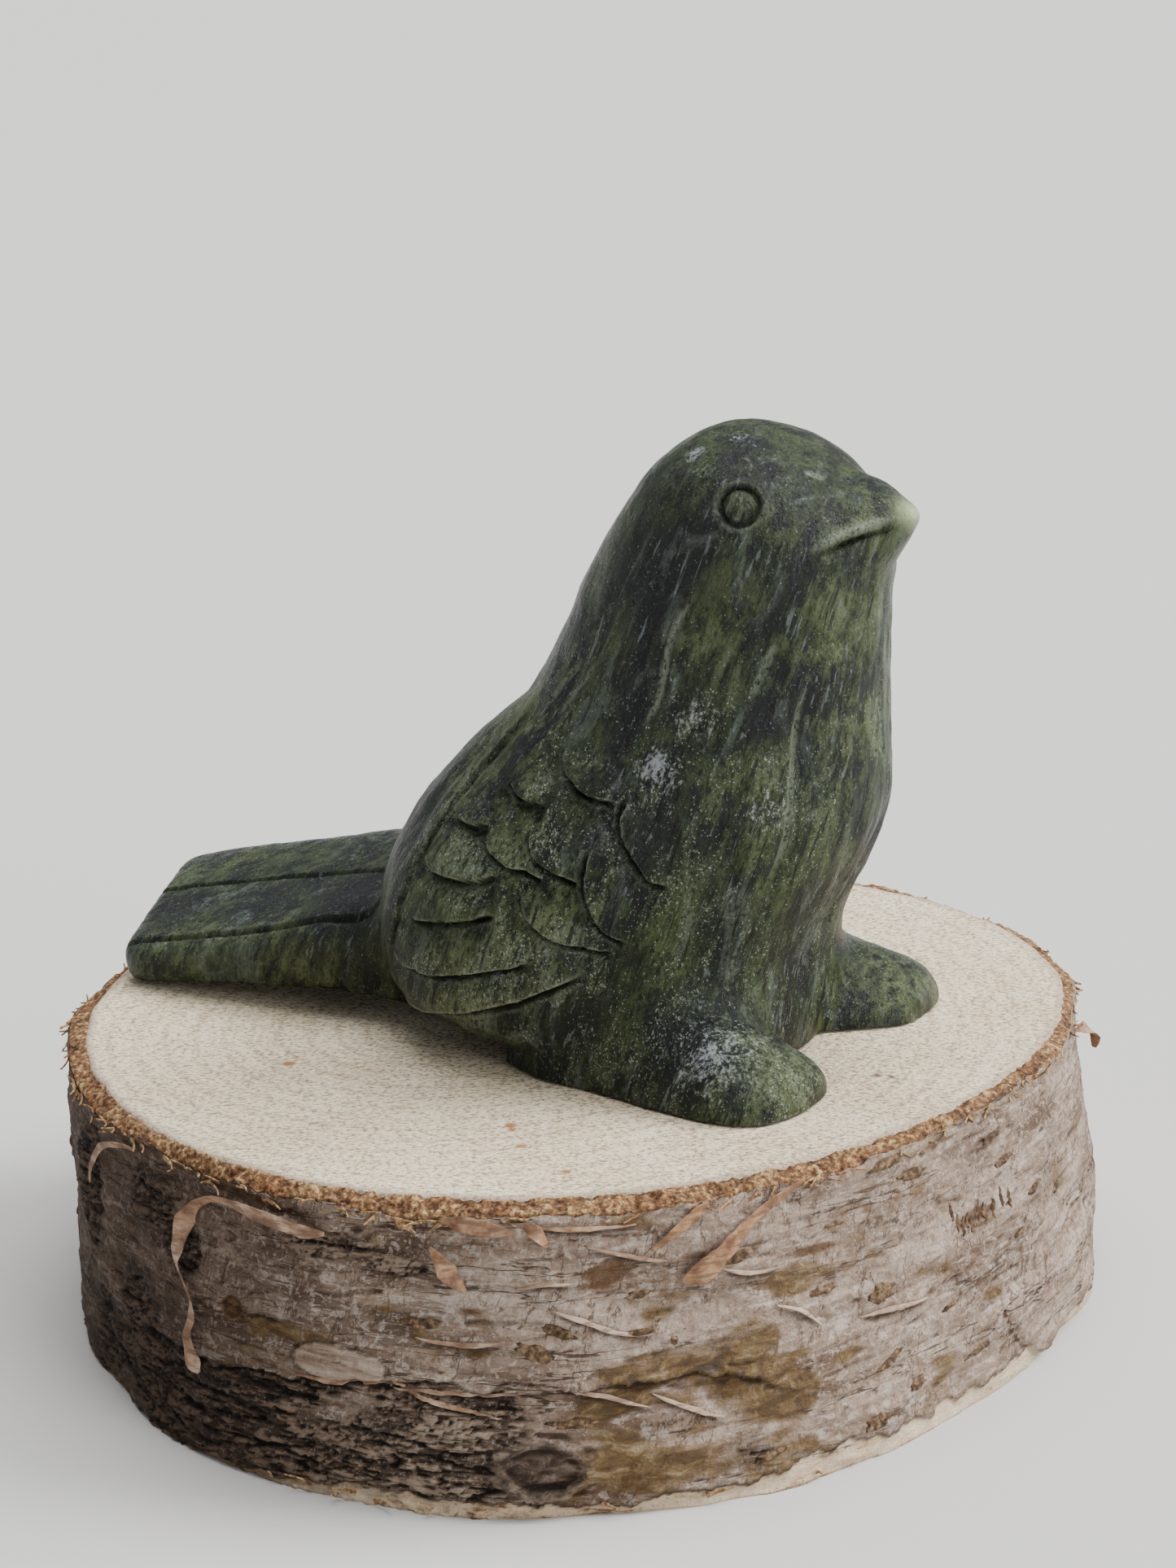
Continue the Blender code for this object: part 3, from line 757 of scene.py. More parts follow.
INKY_SPOTS = (
    (-13, 22, 57, 7, 1.0), (-16, 21, 45, 5, 0.9), (-13, 7, 42, 3.5, 1.0), (-22, 16, 8, 6, 0.6),
    (-22, 25, 9, 6, 0.55), (-4, 10, 70, 3, 0.6), (-6, 0, 57, 2.5, 0.6), (-21, 34, 28, 2.5, 0.2),
    (-12, 52, 24, 5, 0.9), (9, 9, 11, 4, 0.9), (-19, 18, 30, 5, 0.5), (-5.5, 1, 63, 1.8, 0.6),
    (-6, 64, 13, 7, 1.0), (4, 50, 30, 6, 0.7), (16, 14, 40, 6, 0.6), (-4, 80, 11, 6, 0.8),
    (-4, 92, 9, 6, 0.6), (-6, 12, 69, 5, 0.7), (-8, 3, 66, 3, 0.4), (12, 10, 8, 4, 0.6),
    (-9, 20, 65, 5, 0.6), (-17, 28, 22, 4, 0.5), (-9, 12, 18, 4, 0.6),
)
# milky clouds, and painted highlights and reflections on the shoulder, the near foot and the crown
CLOUD_AND_HIGHLIGHT_SPOTS = (
    (-18.5, 17.5, 36.4, 2.2, 1.0), (-16.4, 14, 42, 2.6, 0.6), (-14.6, 6.8, 32, 2.4, 0.5),
    (-22.8, 9.4, 5.6, 4.6, 0.66), (-9.6, 24.5, 61.6, 1.8, 0.3), (-11.1, 3.9, 36.4, 0.5, 1.0),
    (-22.3, 47, 10.1, 0.7, 1.0), (-22.6, 36.1, 12.3, 0.8, 1.0), (-7.5, 17.5, 69.2, 1.1, 1.2),
    (17, 22, 33, 4, 0.5), (-5.0, 13.0, 71.0, 2.2, 0.35), (-10.0, 16.0, 67.5, 1.6, 0.35),
)
FROSTED_SPOTS = (
    (-20, 36, 22, 14, 0.5), (-13, 24, 60, 6, 0.3), (-14, 28, 50, 7, 0.3), (-16, 13, 42, 5, 0.5),
    (-23, 9, 6, 5, 1.0),
)
SMOOTH_SPOTS = ((14, 5, 5, 9, 1.0), (-2, -2, 40, 8, 0.8), (-4, 0, 30, 6, 0.6), (-24, 8, 2, 5, 0.7))
# painted highlight and glow at the beak's thin tip
TIP_HIGHLIGHT = ((-0.5, -5.2, 62.7, 1.9, 1.0),)


# %% A material in layers
class Look:
    """A new material, built up from patterns, masks, ramps and layers of colour. Its place is the
    object's own coordinates."""

    def __init__(self, name):
        """Starts with a principled shader and the object's coordinates."""
        self.material = bpy.data.materials.new(name)
        self.material.use_nodes = True
        self.tree = self.material.node_tree
        self.place = self.node("TexCoord").outputs["Object"]

    def wire(self, node, inputs):
        """Sets inputs. Each is a number, a colour, or another node's output, which is linked."""
        for key, value in inputs.items():
            if isinstance(value, bpy.types.NodeSocket):
                self.tree.links.new(value, node.inputs[key])
            else:
                node.inputs[key].default_value = value

    def node(self, kind, settings=None, inputs=None):
        """A new shader node with its settings and inputs."""
        made = self.tree.nodes.new("ShaderNode" + kind)
        for key, value in (settings or {}).items():
            setattr(made, key, value)
        self.wire(made, inputs or {})
        return made

    def stretched(self, lengths, turn=(0, 0, 0)):
        """Coordinates in which a pattern is stretched by the given lengths along turned axes."""
        inputs = {"Vector": self.place, "Rotation": turn, "Scale": lengths}
        return self.node("Mapping", {"vector_type": "TEXTURE"}, inputs).outputs["Vector"]

    def noise(self, place, size, detail=4.0, roughness=0.55, distortion=0.0):
        """Noise whose largest features are about the given size in metres."""
        inputs = {"Vector": place, "Scale": 1 / size, "Detail": detail}
        inputs |= {"Roughness": roughness, "Distortion": distortion}
        return self.node("TexNoise", None, inputs).outputs["Fac"]

    def mask(self, what):
        """Where a layer shows: the name of a field, a pattern, a band (mask, low, high) that is 0 at
        low, 1 at high and smooth between them, or a list of two masks to multiply."""
        if isinstance(what, str):
            return self.node("Attribute", {"attribute_name": what}).outputs["Fac"]
        if isinstance(what, tuple):
            value, low, high = what
            inputs = {"Value": self.mask(value), "From Min": low, "From Max": high}
            return self.node("MapRange", {"interpolation_type": "SMOOTHSTEP"}, inputs).outputs["Result"]
        if isinstance(what, list):
            return self.times_plus(*what)
        return what

    def times_plus(self, a, b=1.0, c=0.0, clamp=False):
        """The masks or numbers a * b + c."""
        settings = {"operation": "MULTIPLY_ADD", "use_clamp": clamp}
        return self.node("Math", settings, {0: self.mask(a), 1: self.mask(b), 2: self.mask(c)}).outputs[0]

    def ramp(self, value, *stops):
        """Colours along a value, each stop a position followed by its red, green and blue."""
        made = self.node("ValToRGB", None, {"Fac": value})
        elements = made.color_ramp.elements
        while len(elements) < len(stops):
            elements.new(0.5)
        for element, (position, *colour) in zip(elements, stops):
            element.position = position
            element.color = (*colour, 1)
        return made.outputs["Color"]

    def lay(self, colour, *layers):
        """Lays tones over a colour, one after the other. A layer is strength, mask, tone, and how it
        is blended if it isn't simply mixed."""
        for strength, mask, tone, *kind in layers:
            settings = {"data_type": "RGBA", "blend_type": kind[0] if kind else "MIX"}
            tone = (*tone, 1) if isinstance(tone, tuple) else tone
            inputs = {0: self.times_plus(mask, strength), 6: colour, 7: tone}
            colour = self.node("Mix", settings, inputs).outputs[2]
        return colour

    def finished(self, colour, roughness, bumps, sockets=None):
        """The material. A bump is pattern, strength and depth in metres, and lies over the one before."""
        normal = {}
        for height, strength, depth in bumps:
            inputs = {"Height": height, "Strength": strength, "Distance": depth, **normal}
            normal = {"Normal": self.node("Bump", None, inputs).outputs["Normal"]}
        inputs = {"Base Color": colour, "Roughness": roughness, **normal, **(sockets or {})}
        self.wire(self.tree.nodes["Principled BSDF"], inputs)
        return self.material


# %% Serpentine
GRAIN_TILT = math.radians(19)
INKY = (0.0035, 0.0060, 0.0068)
DARK_GREEN = (0.0085, 0.0150, 0.0070)
GREEN = (0.024, 0.0375, 0.0145)
DEEP_OLIVE = (0.024, 0.034, 0.013)
OLIVE = (0.064, 0.086, 0.029)
LIT_OLIVE = (0.135, 0.160, 0.082)
PALE_GREEN = (0.15, 0.175, 0.105)
# milky clouds, also the tone of painted highlights
MILKY_AND_HIGHLIGHT = (0.36, 0.39, 0.41)
# pale grains, partly painted glints
PALE_GRAIN_AND_GLINT = (0.46, 0.51, 0.46)


def serpentine():
    """Drifts and mottle choose the green. Pale grains, partly painted glints, lie thickly where a broad noise
    is high, thin scratches run down the body, and the fields of the carving paint shade into its cuts and
    highlights onto its edges."""
    look = Look("serpentine")
    leaning = look.stretched((1, 1, 2.4), (GRAIN_TILT, 0, 0))
    drift = look.noise(leaning, 0.008, 5, 0.62, 0.7)
    mottle = look.noise(leaning, 0.0022, 8, 0.74, 0.3)
    blotch = look.noise(leaning, 0.0040, 6, 0.66, 0.9)
    haze = look.noise(leaning, 0.0060, 6, 0.68, 1.2)
    scratch = look.noise(look.stretched((1, 1, 18), (GRAIN_TILT, 0.12, 0)), 0.00060, 3, 0.58)
    grit = look.noise(look.stretched((1, 1, 1.5), (GRAIN_TILT, 0, 0)), 0.00042, 3, 0.68)
    fine = look.noise(look.place, 0.00026, 2, 0.60)
    uneven = look.times_plus(mottle, 4.0, -2.0)
    olive = look.times_plus("olive", 1.0, uneven)
    frosted = look.times_plus("frost", (blotch, 0.42, 0.60))
    milk_and_highlight = look.times_plus("cloud_and_highlight", 1.0, look.times_plus(grit, 3.2, look.times_plus(uneven, 0.6, -1.6)))
    both = look.times_plus(mottle, 0.65, look.times_plus(drift, 0.50))
    base = look.ramp(both, (0.48, *INKY), (0.54, *DARK_GREEN), (0.595, *GREEN), (0.665, *OLIVE),
                     (0.75, *PALE_GREEN))
    clouds = look.times_plus(blotch, 0.6, look.times_plus(mottle, 0.4))
    clouded = look.ramp(clouds, (0.41, *DEEP_OLIVE), (0.50, *OLIVE), (0.60, *LIT_OLIVE))
    colour = look.lay(
        base,
        # blotches, and the drifts that have their own places
        (0.65, (blotch, 0.54, 0.61), (0.060, 0.078, 0.033)),
        (0.70, (blotch, 0.45, 0.38), INKY),
        (0.88, (olive, 0.20, 1.0), clouded),
        # painted light: the strongest olive places, most of all on the wing that faces away from the lamps,
        # are lightened
        (0.75, (olive, 0.90, 1.75), (0.125, 0.150, 0.072)),
        (0.92, (look.times_plus("inky", 1.0, uneven), 0.25, 0.85), INKY),
        # painted shade below the feather edges and in the furrows
        (0.45, "recess_shade", (0.012, 0.018, 0.017)),
        (0.30, (haze, 0.53, 0.66), (0.165, 0.200, 0.175)),
        # pale grains with painted glints, dust, scratches, dark specks
        (0.62, (look.times_plus(frosted, 0.10, fine), 0.67, 0.73), PALE_GRAIN_AND_GLINT),
        (0.62, (look.times_plus(frosted, 0.07, grit), 0.64, 0.72), (0.19, 0.225, 0.18)),
        (0.55, [(scratch, 0.61, 0.66), (drift, 0.54, 0.44)], (0.17, 0.205, 0.20)),
        (0.85, (scratch, 0.43, 0.35), (0.13, 0.14, 0.15), "MULTIPLY"),
        (0.95, [(grit, 0.47, 0.37), look.times_plus("frost", 0.6, 0.4)], (0.13, 0.14, 0.14), "MULTIPLY"),
        # milky clouds and painted highlights, the beak tip's painted highlight and glow, pale strokes and
        # painted edge highlights, painted shade in the cuts
        # milky clouds, and painted highlights and reflections
        (0.70, [(milk_and_highlight, 0.35, 1.08), ("cloud_and_highlight", 0.04, 0.30)], MILKY_AND_HIGHLIGHT),
        # painted highlight and glow of the beak's tip
        (0.92, "tip_highlight", (0.50, 0.60, 0.33)),
        # painted highlights on edges, lip and eye rim, and the pale strokes
        (0.85, ["scratches_and_highlights", (grit, 0.32, 0.50)], (0.26, 0.305, 0.22)),
        # painted shade in the cuts, the mouth, the eye's groove and the tail's grooves
        (0.93, "painted_cut_shade", (0.06, 0.06, 0.05), "MULTIPLY"),
    )
    roughness = look.times_plus(grit, 0.5, look.times_plus("frost", 0.15, 0.03))
    bumps = (mottle, 0.70, 0.0008), (scratch, 0.50, 0.00025), (grit, 0.80, 0.00035)
    return look.finished(colour, roughness, bumps, {"IOR": 1.56, "Specular IOR Level": 0.22})


# %% Thin the skin and finish the bird
BIRD_TRIANGLES = 190_000
SHARP_ANGLE = math.radians(70)
# pale grains thin out upwards and towards the tail between these
FROST_UP_TO, FROST_FRONT = (-0.056, -0.030), (-0.070, -0.050)


def finished_bird():
    """The carved skin thinned where it is smooth, moved to its place, with its fields."""
    triangles = sum(len(face.vertices) - 2 for face in bird_skin.polygons)
    mesh = with_modifier(bird_skin, "DECIMATE", ratio=min(1.0, BIRD_TRIANGLES / triangles))
    mesh.name = "carved_bird"
    at = vectors(mesh)
    _, scratches_and_highlights, painted_cut_shade, recess_shade = carving(at, vectors(mesh, "normal"))
    frost = smooth_step(-at[:, 2], *FROST_UP_TO) * smooth_step(-at[:, 1], *FROST_FRONT)
    frost = np.clip(0.75 * frost + spots(at, FROSTED_SPOTS), 0, 1) * (1 - 0.8 * spots(at, SMOOTH_SPOTS))
    # pale strokes with painted highlights, painted shade in the cuts and below the feathers, and where pale
    # grains lie
    give_fields(mesh, {"scratches_and_highlights": scratches_and_highlights, "painted_cut_shade": painted_cut_shade, "recess_shade": recess_shade, "frost": frost})
    # olive, inky, milky clouds with painted highlights, and the beak tip's painted highlight and glow
    places = {"olive": OLIVE_SPOTS, "inky": INKY_SPOTS, "cloud_and_highlight": CLOUD_AND_HIGHLIGHT_SPOTS, "tip_highlight": TIP_HIGHLIGHT}
    give_fields(mesh, {name: spots(at, rows) for name, rows in places.items()})
    mesh.vertices.foreach_set("co", (at + SEAT).ravel())
    mesh.update()
    mesh.shade_smooth()
    mesh.set_sharp_from_angle(angle=SHARP_ANGLE)
    mesh.materials.clear()
    mesh.materials.append(serpentine())
    print("carved_bird:", len(mesh.polygons), "faces")
    return add_object("carved_bird", mesh)


bird = finished_bird()
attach(bird, "root")
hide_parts("serpentine_bird")

# %% [markdown]
# ## The slice's outline
#
# The trunk wasn't quite round and the saw cuts slant a little. A round outline with a few low waves
# gives its shape, and the foot's outline is set off to one side against the sawn face's. Directions
# are angles round the trunk, and heights run from the foot up to the sawn face.

# %% Outline of wood and bark
SLICE_DIAMETER = 0.1214
SLICE_THICKNESS = 0.0319
TOP_TAPER = 0.0011
SLICE_LEAN = 0.0052
LEAN_DIRECTION = math.radians(-152)
BARK_SWELL = 0.0007
# waves round the trunk, share of the radius, direction in degrees
TOP_SWELLS = ((2, 0.012, -10.0), (3, 0.025, 79.0))
FOOT_SWELLS = ((2, 0.010, 36.0), (3, 0.033, 77.0))
RADIUS = 0.5 * SLICE_DIAMETER


def unit_circle(turn):
    """The point (cos, sin, 0) of a circle of radius 1."""
    return np.stack([np.cos(turn), np.sin(turn), 0 * turn], axis=-1)


def swelling(turn, swells):
    """The sum of share cos(n (turn - direction)) over the waves."""
    return sum(share * np.cos(waves * (turn - math.radians(at))) for waves, share, at in swells)


def trunk_radius(turn, level):
    """The mean radius times 1 plus low waves, changing from foot (level 0) to sawn face (level 1)."""
    waves = swelling(turn, FOOT_SWELLS) * (1 - level) + swelling(turn, TOP_SWELLS) * level
    return (RADIUS - TOP_TAPER * level) * (1 + waves)


def trunk_lumps(turn, level):
    """Long low lumps in the bark, the same as on the solid."""
    lumps = (
        np.sin(5 * turn + 2.1 * level + 0.4)
        + 0.8 * np.sin(11 * turn - 3.4 * level + 1.9)
        + 0.7 * np.sin(3 * turn + 6.3 * level + 2.6)
        + 0.6 * np.sin(17 * turn + 7.9 * level + 5.0)
    )
    return 0.4 * BARK_SWELL * lumps


def bark_outline(turn, level):
    """How far the bark's surface stands from the axis, before its relief: outline and lumps."""
    return trunk_radius(turn, level) + trunk_lumps(turn, level)


def trunk_point(turn, radius, height):
    """The point in a direction, at a distance from the leaning axis and at a height."""
    lean = SLICE_LEAN * (0.5 - height / SLICE_THICKNESS)
    x = radius * np.cos(turn) + lean * math.cos(LEAN_DIRECTION)
    y = radius * np.sin(turn) + lean * math.sin(LEAN_DIRECTION)
    return np.stack([x, y, height + 0 * x], axis=-1)


def outline_middle():
    """The middle of the box round the bark, which the frame has at its origin."""
    turn, level = np.meshgrid(np.linspace(-math.pi, math.pi, 721), np.linspace(0, 1, 12))
    edge = trunk_point(turn, bark_outline(turn, level), level * SLICE_THICKNESS)
    return 0.5 * (edge.min(axis=(0, 1)) + edge.max(axis=(0, 1))) * (1, 1, 0)


MIDDLE = outline_middle()
print("the outline's middle is off the axis by", (1000 * MIDDLE).round(2), "mm")

# %% [markdown]
# ## Bark relief
#
# Birch bark is paper in layers, torn and weathered. Its relief is a sum of simple parts: slow bulges,
# fine wrinkles that run round the trunk, steps where a layer has come off, and deep fissures in the
# old, rough places. All are fields over direction and height, so any point of the bark can be asked for
# its height, and small pieces can be laid on it later.

# %% Places on the bark
# direction in degrees, height, half width and half height in mm
ROUGH_PLACES = (
    (172, 5, 13, 5.5), (188, 5.5, 12, 5.5), (198, 8, 6, 4.5), (155, 12, 6, 6), (158, 25, 5, 3),
    (164, 22, 4, 3), (142, 20, 5, 9), (183, 26.3, 6, 1.3), (191, 25, 4, 1.2), (100, 8, 12, 6),
    (40, 22, 10, 5), (-20, 6, 10, 4),
)
OLIVE_PLACES = (
    (-130, 21, 3.5, 1.5), (-135, 15.5, 3.5, 3), (-140, 14.5, 6, 1.5), (-135, 12, 4, 3),
    (-145, 14.5, 6, 1.2), (-138, 6.4, 8, 4), (-146, 4.5, 8, 3), (-149, 11.5, 3, 1.2), (-132, 8.5, 4, 5),
    (60, 12, 8, 4), (10, 20, 7, 3), (-136, 9, 4, 5),
)
BROWN_PLACES = (
    (-148.5, 25, 4.0, 1.3), (-94, 12, 0.7, 3), (-89, 9, 0.6, 4), (-127, 23.3, 3, 0.7), (125, 20, 6, 3),
    (-102, 20, 3.2, 0.9), (-98, 23, 2.4, 0.7),
)
KNOT = (-155.5, 5.1, 4.4, 2.5)
SCAR = (171.8, 17.7, 1.7, 1.5)
PALE_STRIP = (-175.2, 14.5, 5.4, 1.6)
LOBE = (-86.0, 12.5, 13.5, 12.5)
# direction in degrees counted on past -180, height in mm: the ledge under which the paper has come off
LEDGE = (
    (-226, 9.0), (-215, 10.5), (-199.5, 10.9), (-191, 10.8), (-182.7, 11.9), (-176.5, 12.5), (-167.1, 13.5),
    (-159, 14.0), (-152.1, 13.7), (-146.7, 13.6), (-141.1, 13.2), (-134, 11.8), (-127, 9.0),
)
# the same for the upper edge of the cream layer that shows along the foot
CREAM_EDGE = (
    (-340, 0.5), (-300, 0.9), (-260, 0.5), (-200, 0.3), (-184, 0.8), (-176, 1.6), (-163, 1.7), (-150, 1.3),
    (-140, 1.4), (-131, 1.9), (-127.8, 3.2), (-123.1, 2.6), (-114.2, 1.9), (-104.7, 1.8), (-94.5, 2.2),
    (-86, 1.8), (-76, 1.3), (-60, 0.8), (-20, 0.6), (20, 0.5),
)
# the same for lips of paper that stand off the bark
LIPS = (
    ((-154.2, 21.4), (-151.6, 20.4), (-148.0, 18.8), (-144.4, 18.1)),
    ((-153.1, 13.4), (-149.1, 12.4), (-144.9, 10.6)),
    ((-144.8, 12.0), (-141.3, 10.2), (-137.7, 8.5)),
    ((-131.6, 18.8), (-129.0, 17.8), (-126.6, 15.6)),
    ((-121.5, 14.9), (-116.3, 14.6), (-111.6, 14.1)),
    ((-157.3, 23.5), (-154.5, 24.2), (-151.8, 24.0)),
    ((-180.8, 12.6), (-175.5, 12.8), (-170.1, 13.6)),
    ((-170.0, 12.9), (-163.8, 12.9), (-157.5, 12.7)),
    ((-169.6, 13.8), (-165.4, 11.9), (-159.1, 10.2)),
    ((-150.8, 27.8), (-146.0, 26.2), (-142.8, 25.3)),
    ((-167.3, 18.1), (-162.3, 17.8), (-158.2, 18.2)),
    ((-155.6, 29.9), (-151.5, 29.5), (-145.8, 29.6)),
    ((-137.8, 23.9), (-134.4, 22.7), (-130.8, 22.4)),
    ((-260.0, 20.0), (-254.0, 19.3), (-247.0, 19.6)),
    ((-300.0, 12.0), (-293.0, 11.4), (-286.0, 11.9)),
    ((-40.0, 9.0), (-33.0, 8.6), (-28.0, 8.9)),
)


def around(turn, degrees):
    """Distance round the trunk in metres from a direction, positive towards larger angles."""
    return ((turn - math.radians(degrees) + math.pi) % (2 * math.pi) - math.pi) * RADIUS


def counted_on(turn):
    """The direction in degrees from -340 to 20, so that no line on the seen side is cut at -180."""
    return np.degrees(around(turn, -160) / RADIUS) - 160


def line_height(turn, rows):
    """The height in metres of a line given by rows of direction and height in mm."""
    at, height = np.array(rows, float).T
    return 0.001 * np.interp(counted_on(turn), at, height)


def from_place(turn, height, place):
    """How far a point lies round the trunk and up from a place (direction in degrees, height, half
    width and half height in mm), as shares of the half width and half height."""
    degrees, up_mm, half_width, half_height = place
    return around(turn, degrees) / (0.001 * half_width), (height - 0.001 * up_mm) / (0.001 * half_height)


def patch(turn, height, places):
    """The strongest of exp(-(s/a)^2 - (h/b)^2) over places with half width a and half height b."""
    total = np.zeros(np.shape(turn))
    for place in places:
        s, h = from_place(turn, height, place)
        total = np.maximum(total, np.exp(-(s**2) - h**2))
    return total


def lip_fields(turn, height):
    """How much the bark is lifted above each lip's line, and the painted shadow just below the line: bands
    exp(-(d / width)^2) about the line, faded at its ends."""
    degrees = counted_on(turn)
    lifted, shaded = np.zeros((2, *np.shape(turn)))
    for path in LIPS:
        at, up = np.array(path).T
        above = height - 0.001 * np.interp(degrees, at, up)
        ends = smooth_step(degrees, at[0] - 0.5, at[0] + 1.5)
        ends = ends * smooth_step(-degrees, -at[-1] - 0.5, -at[-1] + 1.5)
        lifted = np.maximum(lifted, bell(above, 0.0005, 0.0007) * ends)
        shaded = np.maximum(shaded, bell(above, -0.0005, 0.00028) * ends)
    return lifted, shaded


def towards(turn, degrees, low, high):
    """From 0 to 1 as a direction turns towards the given one: a smooth step of the cosine between."""
    return smooth_step(np.cos(turn - math.radians(degrees)), low, high)


# %% Relief of the paper and of the rough crust
SHEET = 0.00013               # a layer's lifted edge
WRINKLE, BULGE, CREASE = 0.00012, 0.00034, 0.00022
CRUST_STEP = 0.00034          # a flake's edge in the crust
CRACK, CRUMB, LUMP = 0.00036, 0.00022, 0.00040


def sheets(at, size, levels, seed, layers, stretch):
    """Layers of paper: a random field cut into levels. Gives how far a point lies up its own level,
    from 0 under the edge of the layer above to 1 at its own lifted edge, and a tone for each level."""
    value = levels * layered(at, size, seed, layers, stretch)
    level = np.floor(value)
    return value - level, (level * 0.618) % 1


def paper_relief(at):
    """Lifted edges of the sheets, wrinkles that run round the trunk, and slow bulges."""
    up_sheet, tone = sheets(at, 0.0080, 2.2, 71, 3, (5.5, 5.5, 1))
    wrinkles = wander(at, 0.0011, 81, (10, 10, 1)) + 0.6 * wander(at, 0.0006, 83, (14, 14, 1))
    creased = smooth_step(layered(at, 0.011, 93, 2), -0.15, 0.25)
    crease = bell(layered(at, 0.0030, 97, 2, (3.6, 3.6, 1)), 0, 0.07) * creased
    relief = SHEET * up_sheet + WRINKLE * wrinkles + BULGE * layered(at, 0.006, 91, 4, (1.8, 1.8, 1))
    return relief + CREASE * crease, tone, up_sheet


def crust_relief(at):
    """Steps of long thin flakes, cracks where a random field passes through zero, and crumbs."""
    up_flake, tone = sheets(at, 0.0030, 6, 101, 3, (7.0, 7.0, 1))
    crack = bell(layered(at, 0.0026, 107, 2, (8.0, 8.0, 1)), 0, 0.06)
    crumbs = layered(at, 0.0009, 111, 2, (2.0, 2.0, 1))
    lumps = layered(at, 0.0055, 117, 2, (2.2, 2.2, 1))
    return CRUST_STEP * up_flake - CRACK * crack + CRUMB * crumbs + LUMP * lumps, tone, crack


# %% Fields of the bark
KNOT_COLLAR, KNOT_FLOOR, KNOT_CRUMBS = 0.0008, 0.0001, 0.0003
# how far the other features stand out, or how deep they lie
LEDGE_RISE, LEDGE_DROP = 0.00035, 0.00020
LIFTED_LIP, SCAR_HALO, SCAR_DEPTH = 0.00030, 0.0003, 0.00015
STRIP_RISE, LOBE_RISE, CREAM_DEPTH = 0.00018, 0.00050, 0.00035


